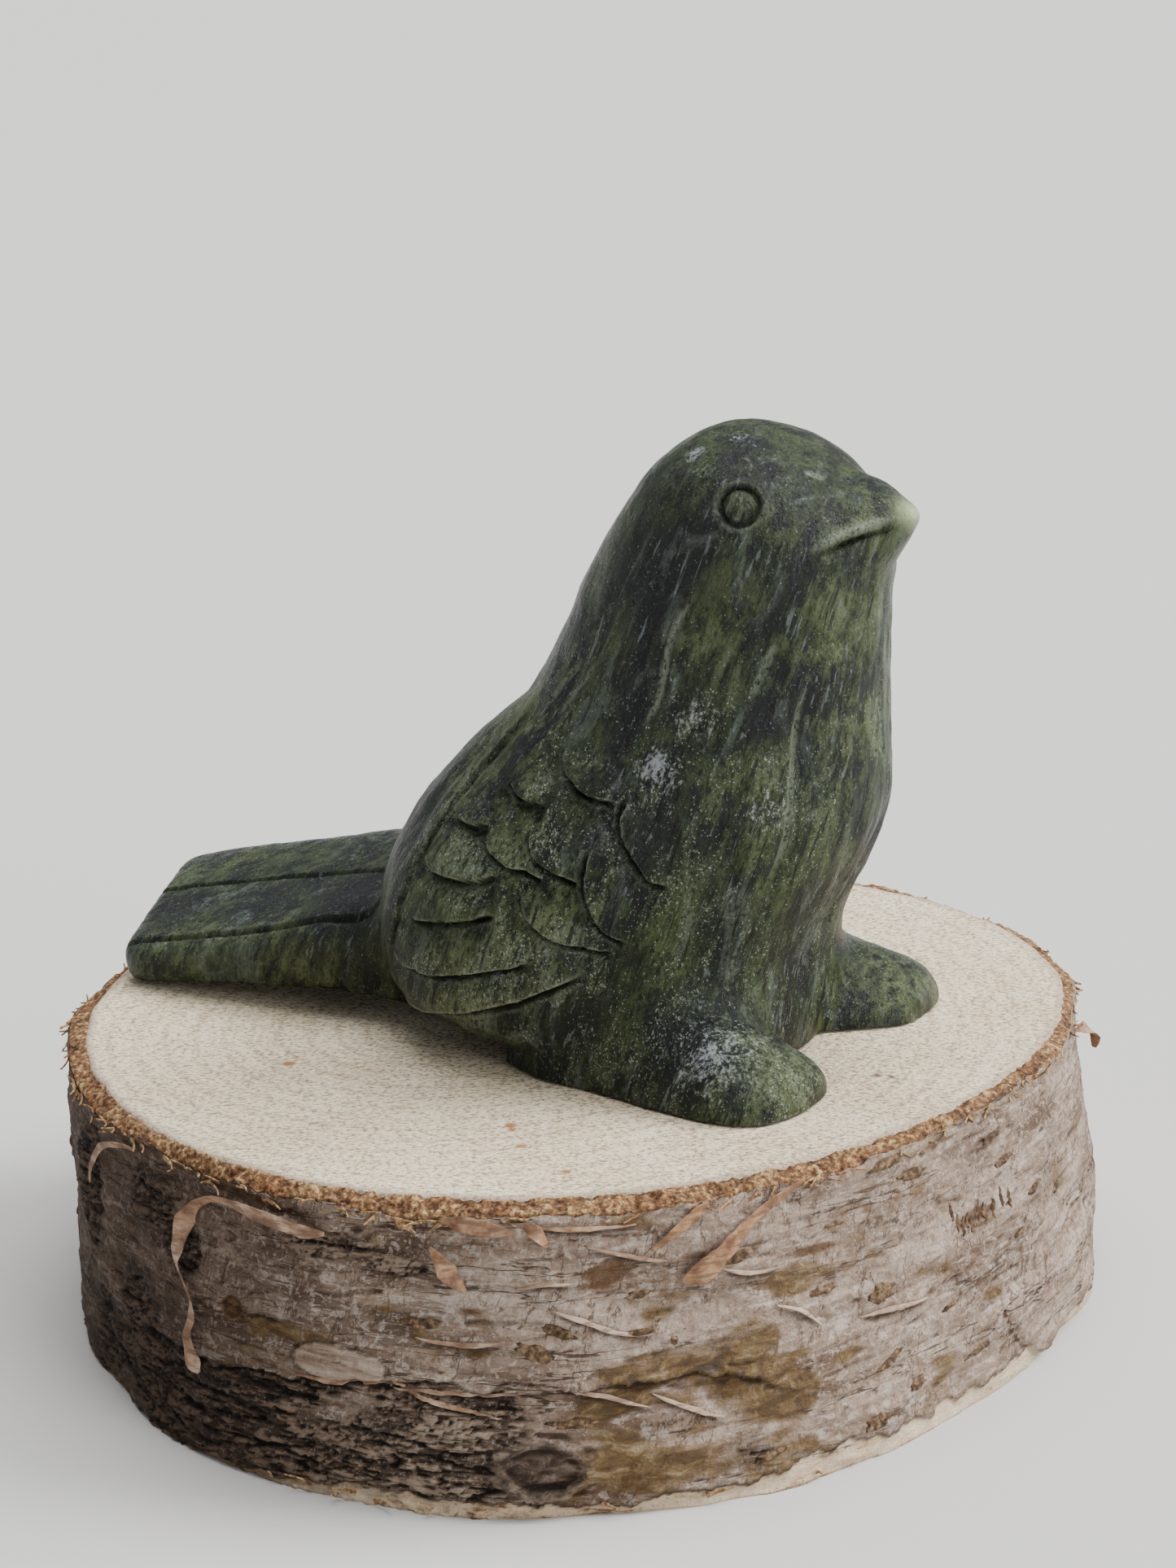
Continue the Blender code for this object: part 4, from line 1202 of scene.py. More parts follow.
def bark_fields(turn, height):
    """The bark's height over its smooth outline, and the fields that its material reads."""
    shape = np.shape(turn)
    turn, height = np.ravel(turn), np.ravel(height)
    at = np.stack([RADIUS * np.cos(turn), RADIUS * np.sin(turn), height], axis=-1)
    drift = layered(at, 0.006, 51, 3, (2.0, 2.0, 1))
    streaks = layered(at, 0.0022, 53, 3, (5, 5, 1))
    ragged = layered(at * (1, 1, 0.3), 0.005, 57, 4)
    degrees = counted_on(turn)
    # the ledge, and the crust under it and in the rough places
    on_ledge = smooth_step(degrees, -226, -216) * smooth_step(-degrees, 127, 136)
    above = height - line_height(turn, LEDGE) + 0.0010 * ragged
    under_ledge = smooth_step(-above, -0.00012, 0.00012) * on_ledge
    crusty = 1.80 * smooth_step(-degrees, 150, 166) - 1.15
    bare = smooth_step(0.9 * drift + 0.5 * streaks + crusty, -0.15, 0.25)
    rough = smooth_step(patch(turn, height, ROUGH_PLACES) + 0.35 * drift, 0.32, 0.62)
    rough = np.maximum(rough, under_ledge * bare)
    patchy = 0.55 * layered(at, 0.004, 61, 4, (2, 2, 1)) + 0.25 * streaks
    olive = smooth_step(patch(turn, height, OLIVE_PLACES) + patchy, 0.24, 0.50)
    brown = smooth_step(patch(turn, height, BROWN_PLACES) + 0.5 * streaks, 0.45, 0.62)
    paper, paper_tone, up_sheet = paper_relief(at)
    crust, crust_tone, crack = crust_relief(at)
    # the knot, the scar, the pale strip and the lobe of loose paper
    from_knot = np.hypot(*from_place(turn, height, KNOT)) + 0.10 * ragged
    knot = smooth_step(1.15 - from_knot, 0, 0.25)
    collar = bell(from_knot, 1.05, 0.20)
    knot_crumbs = layered(at, 0.0016, 121, 2, (2.5, 2.5, 1))
    knot_relief = KNOT_COLLAR * collar + knot * (KNOT_FLOOR + KNOT_CRUMBS * knot_crumbs)
    from_scar = np.hypot(*from_place(turn, height, SCAR))
    scar = smooth_step(-from_scar - 0.15 * ragged, -1.0, -0.75)
    halo = bell(from_scar, 1.2, 0.3)
    s, h = from_place(turn, height, PALE_STRIP)
    in_strip = 1.0 - s**4 - h**2 + 0.5 * ragged
    strip = smooth_step(in_strip, 0, 0.12)
    s, h = from_place(turn, height, LOBE)
    lobe = smooth_step(1.0 - np.hypot(s, h) + 0.05 * ragged, 0, 0.025) * smooth_step(-h, -0.1, 0.4)
    # the cream layer along the foot, and dark seams with painted shadows under every lifted edge
    cream_edge = line_height(turn, CREAM_EDGE) + 0.0008 * layered(at * (1, 1, 0), 0.0035, 131, 4)
    cream = smooth_step(cream_edge - height, -0.0001, 0.0001) * (1 - lobe)
    broken = smooth_step(streaks, -0.25, 0.15)
    lifted, shaded = lip_fields(turn, height)
    seams_and_shadows = (
        bell(height - cream_edge, 0.00012, 0.00024) * (1 - lobe) * (0.60 + 0.40 * broken),
        0.9 * shaded,
        0.8 * bell(in_strip, -0.10, 0.14),
        bell(above, 0, 0.00022) * on_ledge * broken * smooth_step(ragged, -0.5, 0.0),
    )
    relief = (paper * (1 - rough) + crust * rough) * (1 - knot) + knot_relief
    relief += LEDGE_RISE * on_ledge * (1 - under_ledge) * smooth_step(-above, -0.009, 0)
    relief += LIFTED_LIP * lifted + SCAR_HALO * halo + STRIP_RISE * strip + LOBE_RISE * lobe
    relief -= LEDGE_DROP * under_ledge + SCAR_DEPTH * scar + CREAM_DEPTH * cream
    fields = {
        "rough": rough * (1 - strip) * (1 - cream),
        "olive": olive * (1 - 0.7 * rough),
        "brown": brown,
        "pale": cream,
        "strip": strip,
        "knot": np.clip(knot + 0.6 * collar, 0, 1),
        "scar": scar,
        "layer": np.where(rough > 0.5, crust_tone, paper_tone),
        "crack": crack * rough,
        "up": up_sheet,
        # dark seams, and painted shadows under the lips, the ledge and the strip
        "seam_and_shadow": np.max(seams_and_shadows, axis=0),
        # painted shade on the side turned away from the light
        "side_shade": towards(turn, 128, 0.44, 0.88),
        "weathered": towards(turn, -206, 0.55, 0.99),
    }
    return relief.reshape(shape), {name: values.reshape(shape) for name, values in fields.items()}


# %% Rim of the bark, torn by the saw
RIM_DROP = 0.0008
RIM_WIDTH = 0.0019


def on_circle(turn):
    """Places on a circle as wide as the slice, where random fields round the rim are read."""
    return RADIUS * unit_circle(turn)


def torn_side(turn):
    """1 on the left, where the saw tore the rim most, and 0 on the right."""
    return towards(turn, 165, -0.2, 0.7)


def rim_width(turn):
    """The torn band's width: wider on the left, narrow on the right, uneven."""
    return RIM_WIDTH * (0.76 + 0.24 * torn_side(turn)) + 0.00022 * layered(on_circle(turn), 0.006, 151, 3)


def rim_drop(turn):
    """How far below the sawn face the bark's outer edge ends: deeper where the saw tore it."""
    at = on_circle(turn)
    torn = layered(at, 0.011, 141, 4)
    return RIM_DROP + 0.0005 * torn + 0.0005 * towards(turn, -170, 0.3, 1) + 0.00030 * wander(at, 0.0011, 149)


def wood_radius(turn):
    """The sawn face's outline less the width of the torn band."""
    return trunk_radius(turn, 1.0) - rim_width(turn)


# %% [markdown]
# ## The bark skin
#
# The skin is one closed ring: round the trunk in one direction, and in the other up the outside, over the top
# and down the hidden inside. Its columns stand closer on the side that is seen most. How much a point lies
# below its neighbours is kept too, for the painted shade in the hollows.

# %% Skin of the bark
COLUMNS = 730
SIDE_ROWS = 128
SEEN_DIRECTION = math.radians(-150)
CROWDING = 0.52
HIDDEN_OVERLAP = 0.0004       # how far inside the wood's edge the bark's hidden face lies
LEAST_THICKNESS = 0.0015      # of the bark under its upper edge
HIDDEN_DROP = 0.0009          # how far below that edge the hidden face begins


def column_turns(count):
    """Directions round the trunk, closer together towards the side that is seen: evenly spaced
    angles a, each moved by the crowding times sin(a)."""
    even = np.linspace(-math.pi, math.pi, count, endpoint=False)
    return SEEN_DIRECTION + even - CROWDING * np.sin(even)


def hollowness(relief):
    """How far each grid point lies below the average of its surroundings, in tenths of a millimetre."""
    calm = relief.copy()
    for _ in range(6):
        calm = (calm + np.roll(calm, 1, 1) + np.roll(calm, -1, 1)) / 3
        edged = np.concatenate([calm[:1], calm, calm[-1:]])
        calm = (edged[:-2] + edged[1:-1] + edged[2:]) / 3
    return np.clip((calm - relief) / 0.0001, -2, 2)


def with_hidden_rows(values):
    """The rows of a field, and for the two hidden rows inside the last and the first once more."""
    return np.concatenate([values, values[-1:], values[:1]]).ravel()


def bark_skin():
    """Rows up the outside, each at outline + lumps + relief, then one row on the hidden inner face near
    the top and one at the foot."""
    turn = column_turns(COLUMNS)
    top = SLICE_THICKNESS - rim_drop(turn)
    share = np.linspace(0, 1, SIDE_ROWS)[:, None]
    height = share * top
    turns = np.broadcast_to(turn, height.shape)
    level = height / SLICE_THICKNESS
    relief, fields = bark_fields(turns, height)
    radius = bark_outline(turns, level) + relief
    side = trunk_point(turns, radius, height)
    wood = wood_radius(turn) - HIDDEN_OVERLAP
    inner_top = trunk_point(turn, np.minimum(wood, radius[-1] - LEAST_THICKNESS), top - HIDDEN_DROP)[None]
    inner_foot = trunk_point(turn, wood + 0.0002, 0 * turn)[None]
    grid = np.concatenate([side, inner_top, inner_foot]) - MIDDLE
    # how far each point lies in a hollow, for the painted shade there
    fields["recess_shade"] = hollowness(relief)
    return closed_ring(grid), {name: with_hidden_rows(values) for name, values in fields.items()}


# %% Paper bark material
def hairlines(look, place, size):
    """Thin lines where a noise passes through its middle value, broken up by a second noise."""
    off_middle = look.times_plus(look.noise(place, size, 4, 0.55), 1.0, -0.5)
    line = look.node("Math", {"operation": "ABSOLUTE"}, {0: off_middle}).outputs[0]
    return look.mask([(line, 0.018, 0.008), (look.noise(place, 2.5 * size, 2, 0.5), 0.50, 0.60)])


def bark_tones(look, cloudy, mottle, flaky, lines):
    """The colours of fresh and weathered paper, olive places, crust, knot, pale strip and foot."""
    paper = look.ramp(cloudy, (0.395, 0.23, 0.150, 0.100), (0.41, 0.39, 0.285, 0.215),
                      (0.47, 0.44, 0.325, 0.250), (0.485, 0.51, 0.380, 0.292),
                      (0.56, 0.56, 0.425, 0.33), (0.575, 0.66, 0.525, 0.425))
    old = look.ramp(cloudy, (0.36, 0.060, 0.033, 0.019), (0.44, 0.145, 0.092, 0.058),
                    (0.49, 0.200, 0.135, 0.092), (0.505, 0.28, 0.20, 0.145),
                    (0.58, 0.32, 0.235, 0.172), (0.60, 0.44, 0.34, 0.265))
    olive = look.ramp(mottle, (0.36, 0.048, 0.024, 0.008), (0.47, 0.145, 0.081, 0.026),
                      (0.56, 0.25, 0.158, 0.060), (0.66, 0.47, 0.36, 0.22))
    # the crust is painted darker in its hollows and lighter on its ridges
    crust = look.ramp(look.times_plus("recess_shade", -0.055, flaky), (0.36, 0.022, 0.013, 0.008),
                      (0.43, 0.080, 0.049, 0.030), (0.505, 0.170, 0.113, 0.075),
                      (0.515, 0.26, 0.183, 0.125), (0.60, 0.53, 0.42, 0.32))
    crust = look.lay(crust, (0.75, (lines, 0.55, 0.58), (0.016, 0.009, 0.005)),
                     (1.0, "weathered", (0.62, 0.55, 0.50), "MULTIPLY"))
    knot = look.ramp(mottle, (0.36, 0.010, 0.006, 0.004), (0.48, 0.085, 0.055, 0.038),
                     (0.64, 0.32, 0.24, 0.18))
    strip = look.ramp(lines, (0.38, 0.70, 0.56, 0.45), (0.50, 0.56, 0.43, 0.33), (0.62, 0.33, 0.23, 0.16))
    foot = look.ramp(flaky, (0.38, 0.22, 0.115, 0.057), (0.42, 0.64, 0.43, 0.27),
                     (0.47, 0.93, 0.70, 0.47), (0.60, 0.97, 0.81, 0.59))
    return paper, old, olive, crust, knot, strip, foot


def bark_material():
    """Each tone is laid over the one before where its field or its noise is high."""
    look = Look("birch_bark")
    long_round, upright = look.stretched((11, 11, 1)), look.stretched((1, 1, 4), (0.25, 0.25, 0))
    cloudy = look.noise(look.stretched((4, 4, 1)), 0.005, 8, 0.68)
    lines = look.noise(long_round, 0.00070, 5, 0.70)
    scuffs = look.noise(upright, 0.0008, 5, 0.65)
    grit = look.noise(look.place, 0.00042, 4, 0.65)
    crinkled = look.noise(look.place, 0.0010, 6, 0.72, 0.6)
    mottle = look.noise(look.stretched((2.2, 2.2, 1)), 0.0015, 7, 0.74, 0.8)
    flaky = look.noise(look.stretched((5, 5, 1)), 0.0018, 8, 0.78)
    round_hair, up_hair = hairlines(look, long_round, 0.0016), hairlines(look, upright, 0.0018)
    slanting_hair = hairlines(look, look.stretched((1, 1, 6), (0.9, 0.7, 0)), 0.0020)
    aged = look.times_plus("weathered", 0.65, 0.35)
    paper, old, olive, crust, knot, strip, foot = bark_tones(look, cloudy, mottle, flaky, lines)
    colour = look.lay(
        paper,
        (1.0, "weathered", old),
        (0.30, ("layer", 0.75, 0.25), (0.62, 0.52, 0.45), "MULTIPLY"),
        # lines round the trunk, scuffs, crinkles with painted light and shade, stains, hairlines, painted
        # highlights on lifted edges
        (0.80, [(lines, 0.58, 0.60), aged], (0.075, 0.042, 0.022)),
        (0.50, (lines, 0.42, 0.37), (0.78, 0.68, 0.59)),
        (0.35, (scuffs, 0.59, 0.63), (0.11, 0.062, 0.035)),
        # painted light and shade of fine crinkles
        (0.40, (crinkled, 0.54, 0.58), (0.84, 0.735, 0.65)),
        (0.45, (crinkled, 0.45, 0.41), (0.25, 0.165, 0.115)),
        (0.80, [(mottle, 0.585, 0.60), aged], (0.115, 0.064, 0.036)),
        (0.50, (mottle, 0.42, 0.405), (0.78, 0.675, 0.58)),
        (0.85, round_hair, (0.060, 0.033, 0.018)),
        (0.70, up_hair, (0.085, 0.048, 0.027)),
        (0.60, slanting_hair, (0.10, 0.057, 0.032)),
        # painted highlight on the lifted edge of each sheet of paper
        (0.35, ("up", 0.88, 0.98), (0.66, 0.50, 0.37)),
        # olive and brown weathering, crust with its grit and cracks
        (0.90, ["olive", (cloudy, 0.66, 0.46)], olive),
        (0.80, "brown", (0.150, 0.075, 0.028)),
        (0.95, "rough", crust),
        (0.70, ["rough", (grit, 0.57, 0.65)], (0.44, 0.40, 0.36)),
        (0.75, "crack", (0.008, 0.005, 0.003)),
        # knot, scar and strip, painted shade in the hollows, the cream layer, seams with painted shadows
        # under lifted edges, and painted shade on the side away from the light
        (0.92, "knot", knot),
        (0.90, "scar", (0.30, 0.165, 0.065)),
        (0.84, "strip", strip),
        # painted shade in the hollows
        (0.80, ("recess_shade", 0.35, 1.6), (0.16, 0.10, 0.07), "MULTIPLY"),
        (0.95, "pale", foot),
        (0.80, ["pale", round_hair], (0.045, 0.022, 0.010)),
        # dark seams and painted shadows under lifted edges
        (0.85, "seam_and_shadow", (0.030, 0.016, 0.009)),
        # painted shade on the side turned away from the light
        (0.85, "side_shade", (0.34, 0.28, 0.24), "MULTIPLY"),
        (0.70, (grit, 0.64, 0.72), (0.055, 0.032, 0.020)),
    )
    bumps = ((lines, 0.85, 0.0006), (scuffs, 0.50, 0.0004), (mottle, 0.75, 0.0009),
             (crinkled, 0.75, 0.0007), (grit, 0.70, 0.0004))
    return look.finished(colour, look.times_plus(cloudy, 0.4, 0.5), bumps, {"Specular IOR Level": 0.25})


skin, skin_fields = bark_skin()
bark = make_piece("bark_skin", skin, bark_material(), skin_fields)

# %% [markdown]
# ## Wood and torn rim
#
# The sawn face is sanded end grain: cream, finely speckled, with faint growth rings. Between it and
# the bark lies the inner bark, a band of orange-brown crumbs that the saw has torn, sloping outwards.
# The wood is a stack of rings closed over the face. The band is a second closed ring with a grid fine
# enough to hold the crumbs.

# %% Sanded wood
WOOD_COLUMNS = 720
WOOD_RINGS = 120
WOOD_EDGE_ROUND = 0.00025
SANDING_DIRECTION = math.radians(-62)
# places on the sawn face and sizes in mm
RUST_FLECKS = (
    (-33.3, -12.1, 0.7), (-34.4, -12.9, 0.5), (-38.2, -16.1, 0.6), (-43, -24, 0.6), (-25.7, 20.9, 0.8),
)
DARK_DOTS = ((-4.1, -42.6, 0.45), (-3.7, -44.2, 0.4))


def wood_skin():
    """Rings from the middle of the hidden underside out to the edge, up, and in over the sawn face."""
    turn = np.linspace(-math.pi, math.pi, WOOD_COLUMNS, endpoint=False)
    shares = np.concatenate([[0.5, 0.97, 1.0, 1.0], np.linspace(0.995, 0.02, WOOD_RINGS)])
    heights = np.full(len(shares), SLICE_THICKNESS)
    heights[:4] = 0, 0, 0.0005, SLICE_THICKNESS - WOOD_EDGE_ROUND
    edge = wood_radius(turn)
    radius = shares[:, None] * edge
    height = np.broadcast_to(heights[:, None], radius.shape)
    grid = trunk_point(turn, radius, height) - MIDDLE
    face = grid[4:]
    face[..., 2] += 0.00002 * wander(face.reshape(-1, 3), 0.004, 161).reshape(face.shape[:2])
    skin = closed_skin(grid)
    fields = {"rim": np.concatenate([(radius / edge).ravel(), [0, 0]])}
    for name, marks in (("rust", RUST_FLECKS), ("dot", DARK_DOTS)):
        places = [(x, y, 1000 * SLICE_THICKNESS, size, 1.6) for x, y, size in marks]
        fields[name] = smooth_step(spots(skin[0], places), 0.45, 0.75)
    return skin, fields


def wood_material():
    """Cream wood, darker in the growth rings and in the pores, which sanding has drawn out a little."""
    look = Look("birch_wood")
    pores = look.noise(look.stretched((1.5, 1, 1), (0, 0, SANDING_DIRECTION)), 0.00040, 3, 0.72)
    broad = look.noise(look.place, 0.016, 4, 0.55)
    shifted = {"Vector": look.place, "Location": (0.006, -0.009, 0)}
    pith = look.node("Mapping", None, shifted).outputs["Vector"]
    rings = {"Vector": pith, "Scale": 95.0, "Distortion": 1.6, "Detail": 3.0, "Detail Scale": 1.2}
    ring = look.node("TexWave", {"wave_type": "RINGS", "rings_direction": "Z"}, rings).outputs["Fac"]
    colour = look.lay(
        look.ramp(broad, (0.35, 0.74, 0.605, 0.405), (0.60, 0.85, 0.72, 0.51)),
        (0.32, (ring, 0.70, 1.0), (0.42, 0.30, 0.19)),
        (0.70, (pores, 0.52, 0.60), (0.16, 0.098, 0.048)),
        (0.85, (pores, 0.48, 0.36), (0.96, 0.89, 0.72)),
        (1.0, "rust", (0.40, 0.17, 0.06)),
        (1.0, "dot", (0.10, 0.06, 0.035)),
        (0.6, ("rim", 0.975, 0.998), (0.36, 0.25, 0.20)),
    )
    return look.finished(colour, 0.78, [(look.times_plus(pores, -1.0, 1.0), 0.80, 0.00050)])


skin, wood_fields = wood_skin()
wood = make_piece("sanded_wood", skin, wood_material(), wood_fields)

# %% Torn inner bark
RIM_COLUMNS = 1500
RIM_ROWS = 22
CRUMB_HEIGHT = 0.00033
CRUMB_PUSH = 0.00025
RIM_OVERLAP = 0.0003          # how far the band reaches in under the wood's edge
RIM_STEP = 0.0002             # how far below the sawn face it begins
RIM_DEPTH = 0.0012            # how far its hidden side lies below the bark's edge


def rim_skin():
    """A closed ring: v runs outwards over the torn slope and back below it. The slope falls from the
    wood's edge to the bark's edge, and a fine random field raises its crumbs."""
    turn = column_turns(RIM_COLUMNS)
    drop = rim_drop(turn)
    top = SLICE_THICKNESS - drop
    level = top / SLICE_THICKNESS
    outer = bark_outline(turn, level) - 0.00010
    inner = wood_radius(turn) - RIM_OVERLAP
    share = np.linspace(0, 1, RIM_ROWS)[:, None]
    radius = inner + (outer - inner) * share
    fall = np.clip((radius - inner - RIM_OVERLAP) / (outer - inner - RIM_OVERLAP), 0, 1)
    height = SLICE_THICKNESS - RIM_STEP - (drop - 0.0003) * fall**1.3
    slope = trunk_point(turn, radius, height)
    crumbs = layered(slope.reshape(-1, 3), 0.0011, 171, 3, (1.4, 1.4, 1)).reshape(radius.shape)
    amount = smooth_step(share, 0, 0.12) * smooth_step(1 - share, 0, 0.08) * (0.5 + 0.5 * torn_side(turn))
    slope[..., 2] += CRUMB_HEIGHT * crumbs * amount
    push = CRUMB_PUSH * wander(slope.reshape(-1, 3), 0.0008, 181).reshape(radius.shape) * amount
    slope = slope + push[..., None] * unit_circle(turn)
    below = trunk_point(turn, np.stack([outer - 0.0004, inner + 0.0002]), np.stack([top - RIM_DEPTH] * 2))
    return closed_ring(np.concatenate([slope, below]) - MIDDLE), {"crumb": with_hidden_rows(crumbs)}


def rim_material():
    """The tone rises with the crumbs' own height and a fine noise, and a broad noise darkens it."""
    look = Look("inner_bark")
    grit = look.noise(look.place, 0.00055, 5, 0.65)
    broad = look.noise(look.place, 0.005, 3, 0.5)
    colour = look.ramp(look.times_plus("crumb", 0.10, grit), (0.34, 0.035, 0.014, 0.005),
                       (0.45, 0.115, 0.050, 0.017), (0.56, 0.25, 0.130, 0.050), (0.68, 0.54, 0.37, 0.19))
    colour = look.lay(colour, (1.0, (broad, 0.48, 0.66), (0.75, 0.60, 0.50), "MULTIPLY"))
    return look.finished(colour, 0.9, [(grit, 0.6, 0.0004)])


skin, rim_fields = rim_skin()
rim = make_piece("torn_inner_bark", skin, rim_material(), rim_fields)

# %% [markdown]
# ## Loose bark
#
# Birch sheds its bark in ribbons, and its paper lifts in short lips. Each of them is a thin flat oval
# carried along a path over the bark: a ribbon stands off it and is twisted, a lip is laid on the bark's
# own relief. Short cork dashes, which the tree breathes through, lie on the bark as low lens shapes.
# The saw has left shreds along the rim.

# %% Ribbons
RIBBON_THICKNESS = 0.00016
LIP_THICKNESS = 0.00012


def over_bark(turn, height, lift):
    """A point above the bark, at the given distance from its surface."""
    level = height / SLICE_THICKNESS
    relief, _ = bark_fields(turn, height)
    radius = bark_outline(turn, level) + relief + lift
    return trunk_point(turn, radius, height) - MIDDLE


def ribbon(rows, count=46, thickness=RIBBON_THICKNESS, sides=16, laid=False):
    """A thin flat oval carried along a path. A row is direction in degrees, then height, lift and
    width in mm, and twist in degrees. Laid means that the lift counts from the bark's own relief."""
    degrees, height, lift, width, twist = smooth_rows(rows, count).T
    turn = np.radians(degrees)
    height, lift, width = (0.001 * v for v in (height, lift, width))
    level = height / SLICE_THICKNESS
    if laid:
        lift = lift + bark_fields(turn, height)[0]
    path = trunk_point(turn, bark_outline(turn, level) + lift, height) - MIDDLE
    along = np.gradient(path, axis=0)
    along /= np.linalg.norm(along, axis=1)[:, None]
    side = np.cross(along, unit_circle(turn))
    side /= np.linalg.norm(side, axis=1)[:, None]
    face = np.cross(side, along)
    c, s = np.cos(np.radians(twist))[:, None], np.sin(np.radians(twist))[:, None]
    side, face = c * side + s * face, -s * side + c * face
    around_it = np.linspace(0, 2 * math.pi, sides, endpoint=False)
    ragged = 1 + 0.25 * layered(path, 0.0018, 191, 2)
    across = 0.5 * (width * ragged)[:, None] * np.cos(around_it)
    bend = 0.25 * across**2 / np.maximum(width, 1e-5)[:, None]
    out = 0.5 * thickness * np.sin(around_it) + bend
    rings = path[:, None] + across[..., None] * side[:, None] + out[..., None] * face[:, None]
    return closed_skin(rings)


def lip(path):
    """A lip of paper: a ribbon whose lift and width grow as the sine of the way along it."""
    rise = np.sin(np.linspace(0, math.pi, len(path)))
    rows = [(degrees, up, 0.04 + 0.22 * r, 0.16 + 0.42 * r, 35) for (degrees, up), r in zip(path, rise)]
    return ribbon(rows, 40, LIP_THICKNESS, 10, laid=True)


# orange tone of each ribbon, from 0 to 1
WARMTH = (0.1, 0.2, 1.0, 1.0, 0.6, 0.5, 0.8, 0.6, 0.3)
# the same for the lips, where less than 0 is paler
LIP_WARMTH = (-0.8, -0.5, -0.5, -0.9, -0.4, -0.4, 0.0, -0.2, 0.0, -0.2, -0.1, 0.4, -0.5, -0.3, -0.5, -0.6)
# for each ribbon: direction in degrees, height, lift and width in mm, twist in degrees
RIBBONS = (
    ((-176.6, 27.6, 0.3, 0.5, 0), (-178.6, 27.8, 0.9, 1.6, 15), (-182.6, 28.6, 1.3, 2.3, 20),
     (-188, 29.3, 1.7, 2.1, 40), (-191.5, 28.4, 1.9, 1.8, 60), (-194, 26.0, 1.7, 1.9, 40),
     (-195.5, 22.5, 1.3, 1.7, 10), (-195.8, 20.2, 1.0, 1.0, -25), (-193.5, 17.8, 1.2, 1.3, -40),
     (-193.4, 15.5, 0.9, 1.2, -10), (-194.4, 13.2, 0.8, 1.2, 10), (-193.8, 10.4, 0.5, 1.9, 15),
     (-193.2, 9.4, 0.3, 0.6, 10)),
    ((155, 29.8, 0.3, 0.4, 0), (153, 29.9, 0.9, 0.8, 20), (149, 28.6, 1.2, 0.8, 20),
     (145.5, 25.5, 1.0, 0.8, 10), (143.5, 22.8, 0.4, 0.4, 0)),
    ((-138.6, 30.6, 0.3, 0.5, 0), (-140, 29.9, 0.7, 1.2, 10), (-142, 28.6, 0.9, 1.2, 10),
     (-144.2, 26.8, 0.4, 0.5, 0)),
    ((-127.5, 30.7, 0.2, 0.5, 0), (-131, 29.6, 0.6, 1.0, 5), (-134.5, 27.9, 0.9, 1.5, 10),
     (-137.5, 25.6, 1.2, 2.5, 15), (-139.6, 24.1, 1.1, 2.6, 10), (-141.4, 23.1, 0.5, 0.7, 0)),
    ((-165.6, 27.4, 0.2, 0.4, 0), (-164.6, 26.4, 0.8, 1.6, 20), (-163.4, 24.8, 1.0, 2.0, 30),
     (-162.2, 23.3, 0.5, 0.5, 10)),
    ((-164.5, 30.4, 0.3, 0.4, 0), (-162, 30.2, 0.8, 1.5, 20), (-159.5, 29.8, 0.9, 1.4, 20),
     (-157.5, 29.3, 0.4, 0.4, 0)),
    ((-156.4, 30.0, 0.5, 0.5, 0), (-155.4, 29.6, 1.0, 1.4, 30), (-154.6, 28.6, 0.9, 1.2, 60),
     (-154.2, 27.9, 0.4, 0.4, 40)),
    ((-70, 30.0, 0.4, 0.4, 0), (-68, 29.6, 1.6, 1.6, 30), (-66.5, 28.2, 2.4, 1.8, 50),
     (-66, 26.6, 2.2, 0.6, 60)),
    ((60, 30.0, 0.4, 0.5, 0), (64, 28.0, 1.3, 2.2, 20), (70, 25.5, 1.2, 2.6, 20),
     (74, 24.0, 0.4, 0.6, 0)),
)


def ribbon_material():
    """The warm field mixes in orange above 0 and cream below 0. A fine noise gives dark fibres that
    run round the trunk."""
    look = Look("bark_paper")
    cloudy = look.noise(look.place, 0.0022, 5, 0.6)
    fine = look.noise(look.stretched((6, 6, 1)), 0.0005, 4, 0.6)
    plain = look.ramp(cloudy, (0.34, 0.13, 0.060, 0.030), (0.50, 0.30, 0.175, 0.105),
                      (0.66, 0.50, 0.36, 0.26))
    orange = look.ramp(cloudy, (0.36, 0.11, 0.038, 0.012), (0.62, 0.42, 0.21, 0.085))
    colour = look.lay(
        plain,
        (1.0, look.times_plus("warm", 0.75, clamp=True), orange),
        (0.75, ("warm", 0.0, -1.0), (0.58, 0.44, 0.33)),
        (0.65, (fine, 0.50, 0.60), (0.12, 0.058, 0.028)),
    )
    return look.finished(colour, 0.6, [(fine, 0.4, 0.0002)])


ribbon_skins = [ribbon(rows) for rows in RIBBONS] + [lip(path) for path in LIPS]
paper_tones = zip(ribbon_skins, WARMTH + LIP_WARMTH)
warmth = np.concatenate([np.full(len(points), warm) for (points, _), warm in paper_tones])
ribbons = make_piece("peeling_ribbons", joined(ribbon_skins), ribbon_material(), {"warm": warmth})

# %% Shreds along the rim and the foot
SHREDS = 190
SHRED_THICKNESS = 0.00022
SPLINTERS_AT = (-172, -174, -176, -179, 176, -166, -150, -140, -128, 30, 90, -20)
rng = np.random.default_rng(7)


def shred(turn, height, length, width, lift, climb):
    """A short ribbon that starts at the bark and stands off it at its far end."""
    reach = np.degrees(length / RADIUS)
    rows = []
    for t in (0, 0.35, 0.7, 1):
        up, wide = 1000 * (height + climb * t), 1000 * width * (1 - 0.75 * t)
        rows.append((turn + reach * t, up, 1000 * lift * t * t, wide, 50 * t))
    return ribbon(rows, 6, SHRED_THICKNESS, 6)


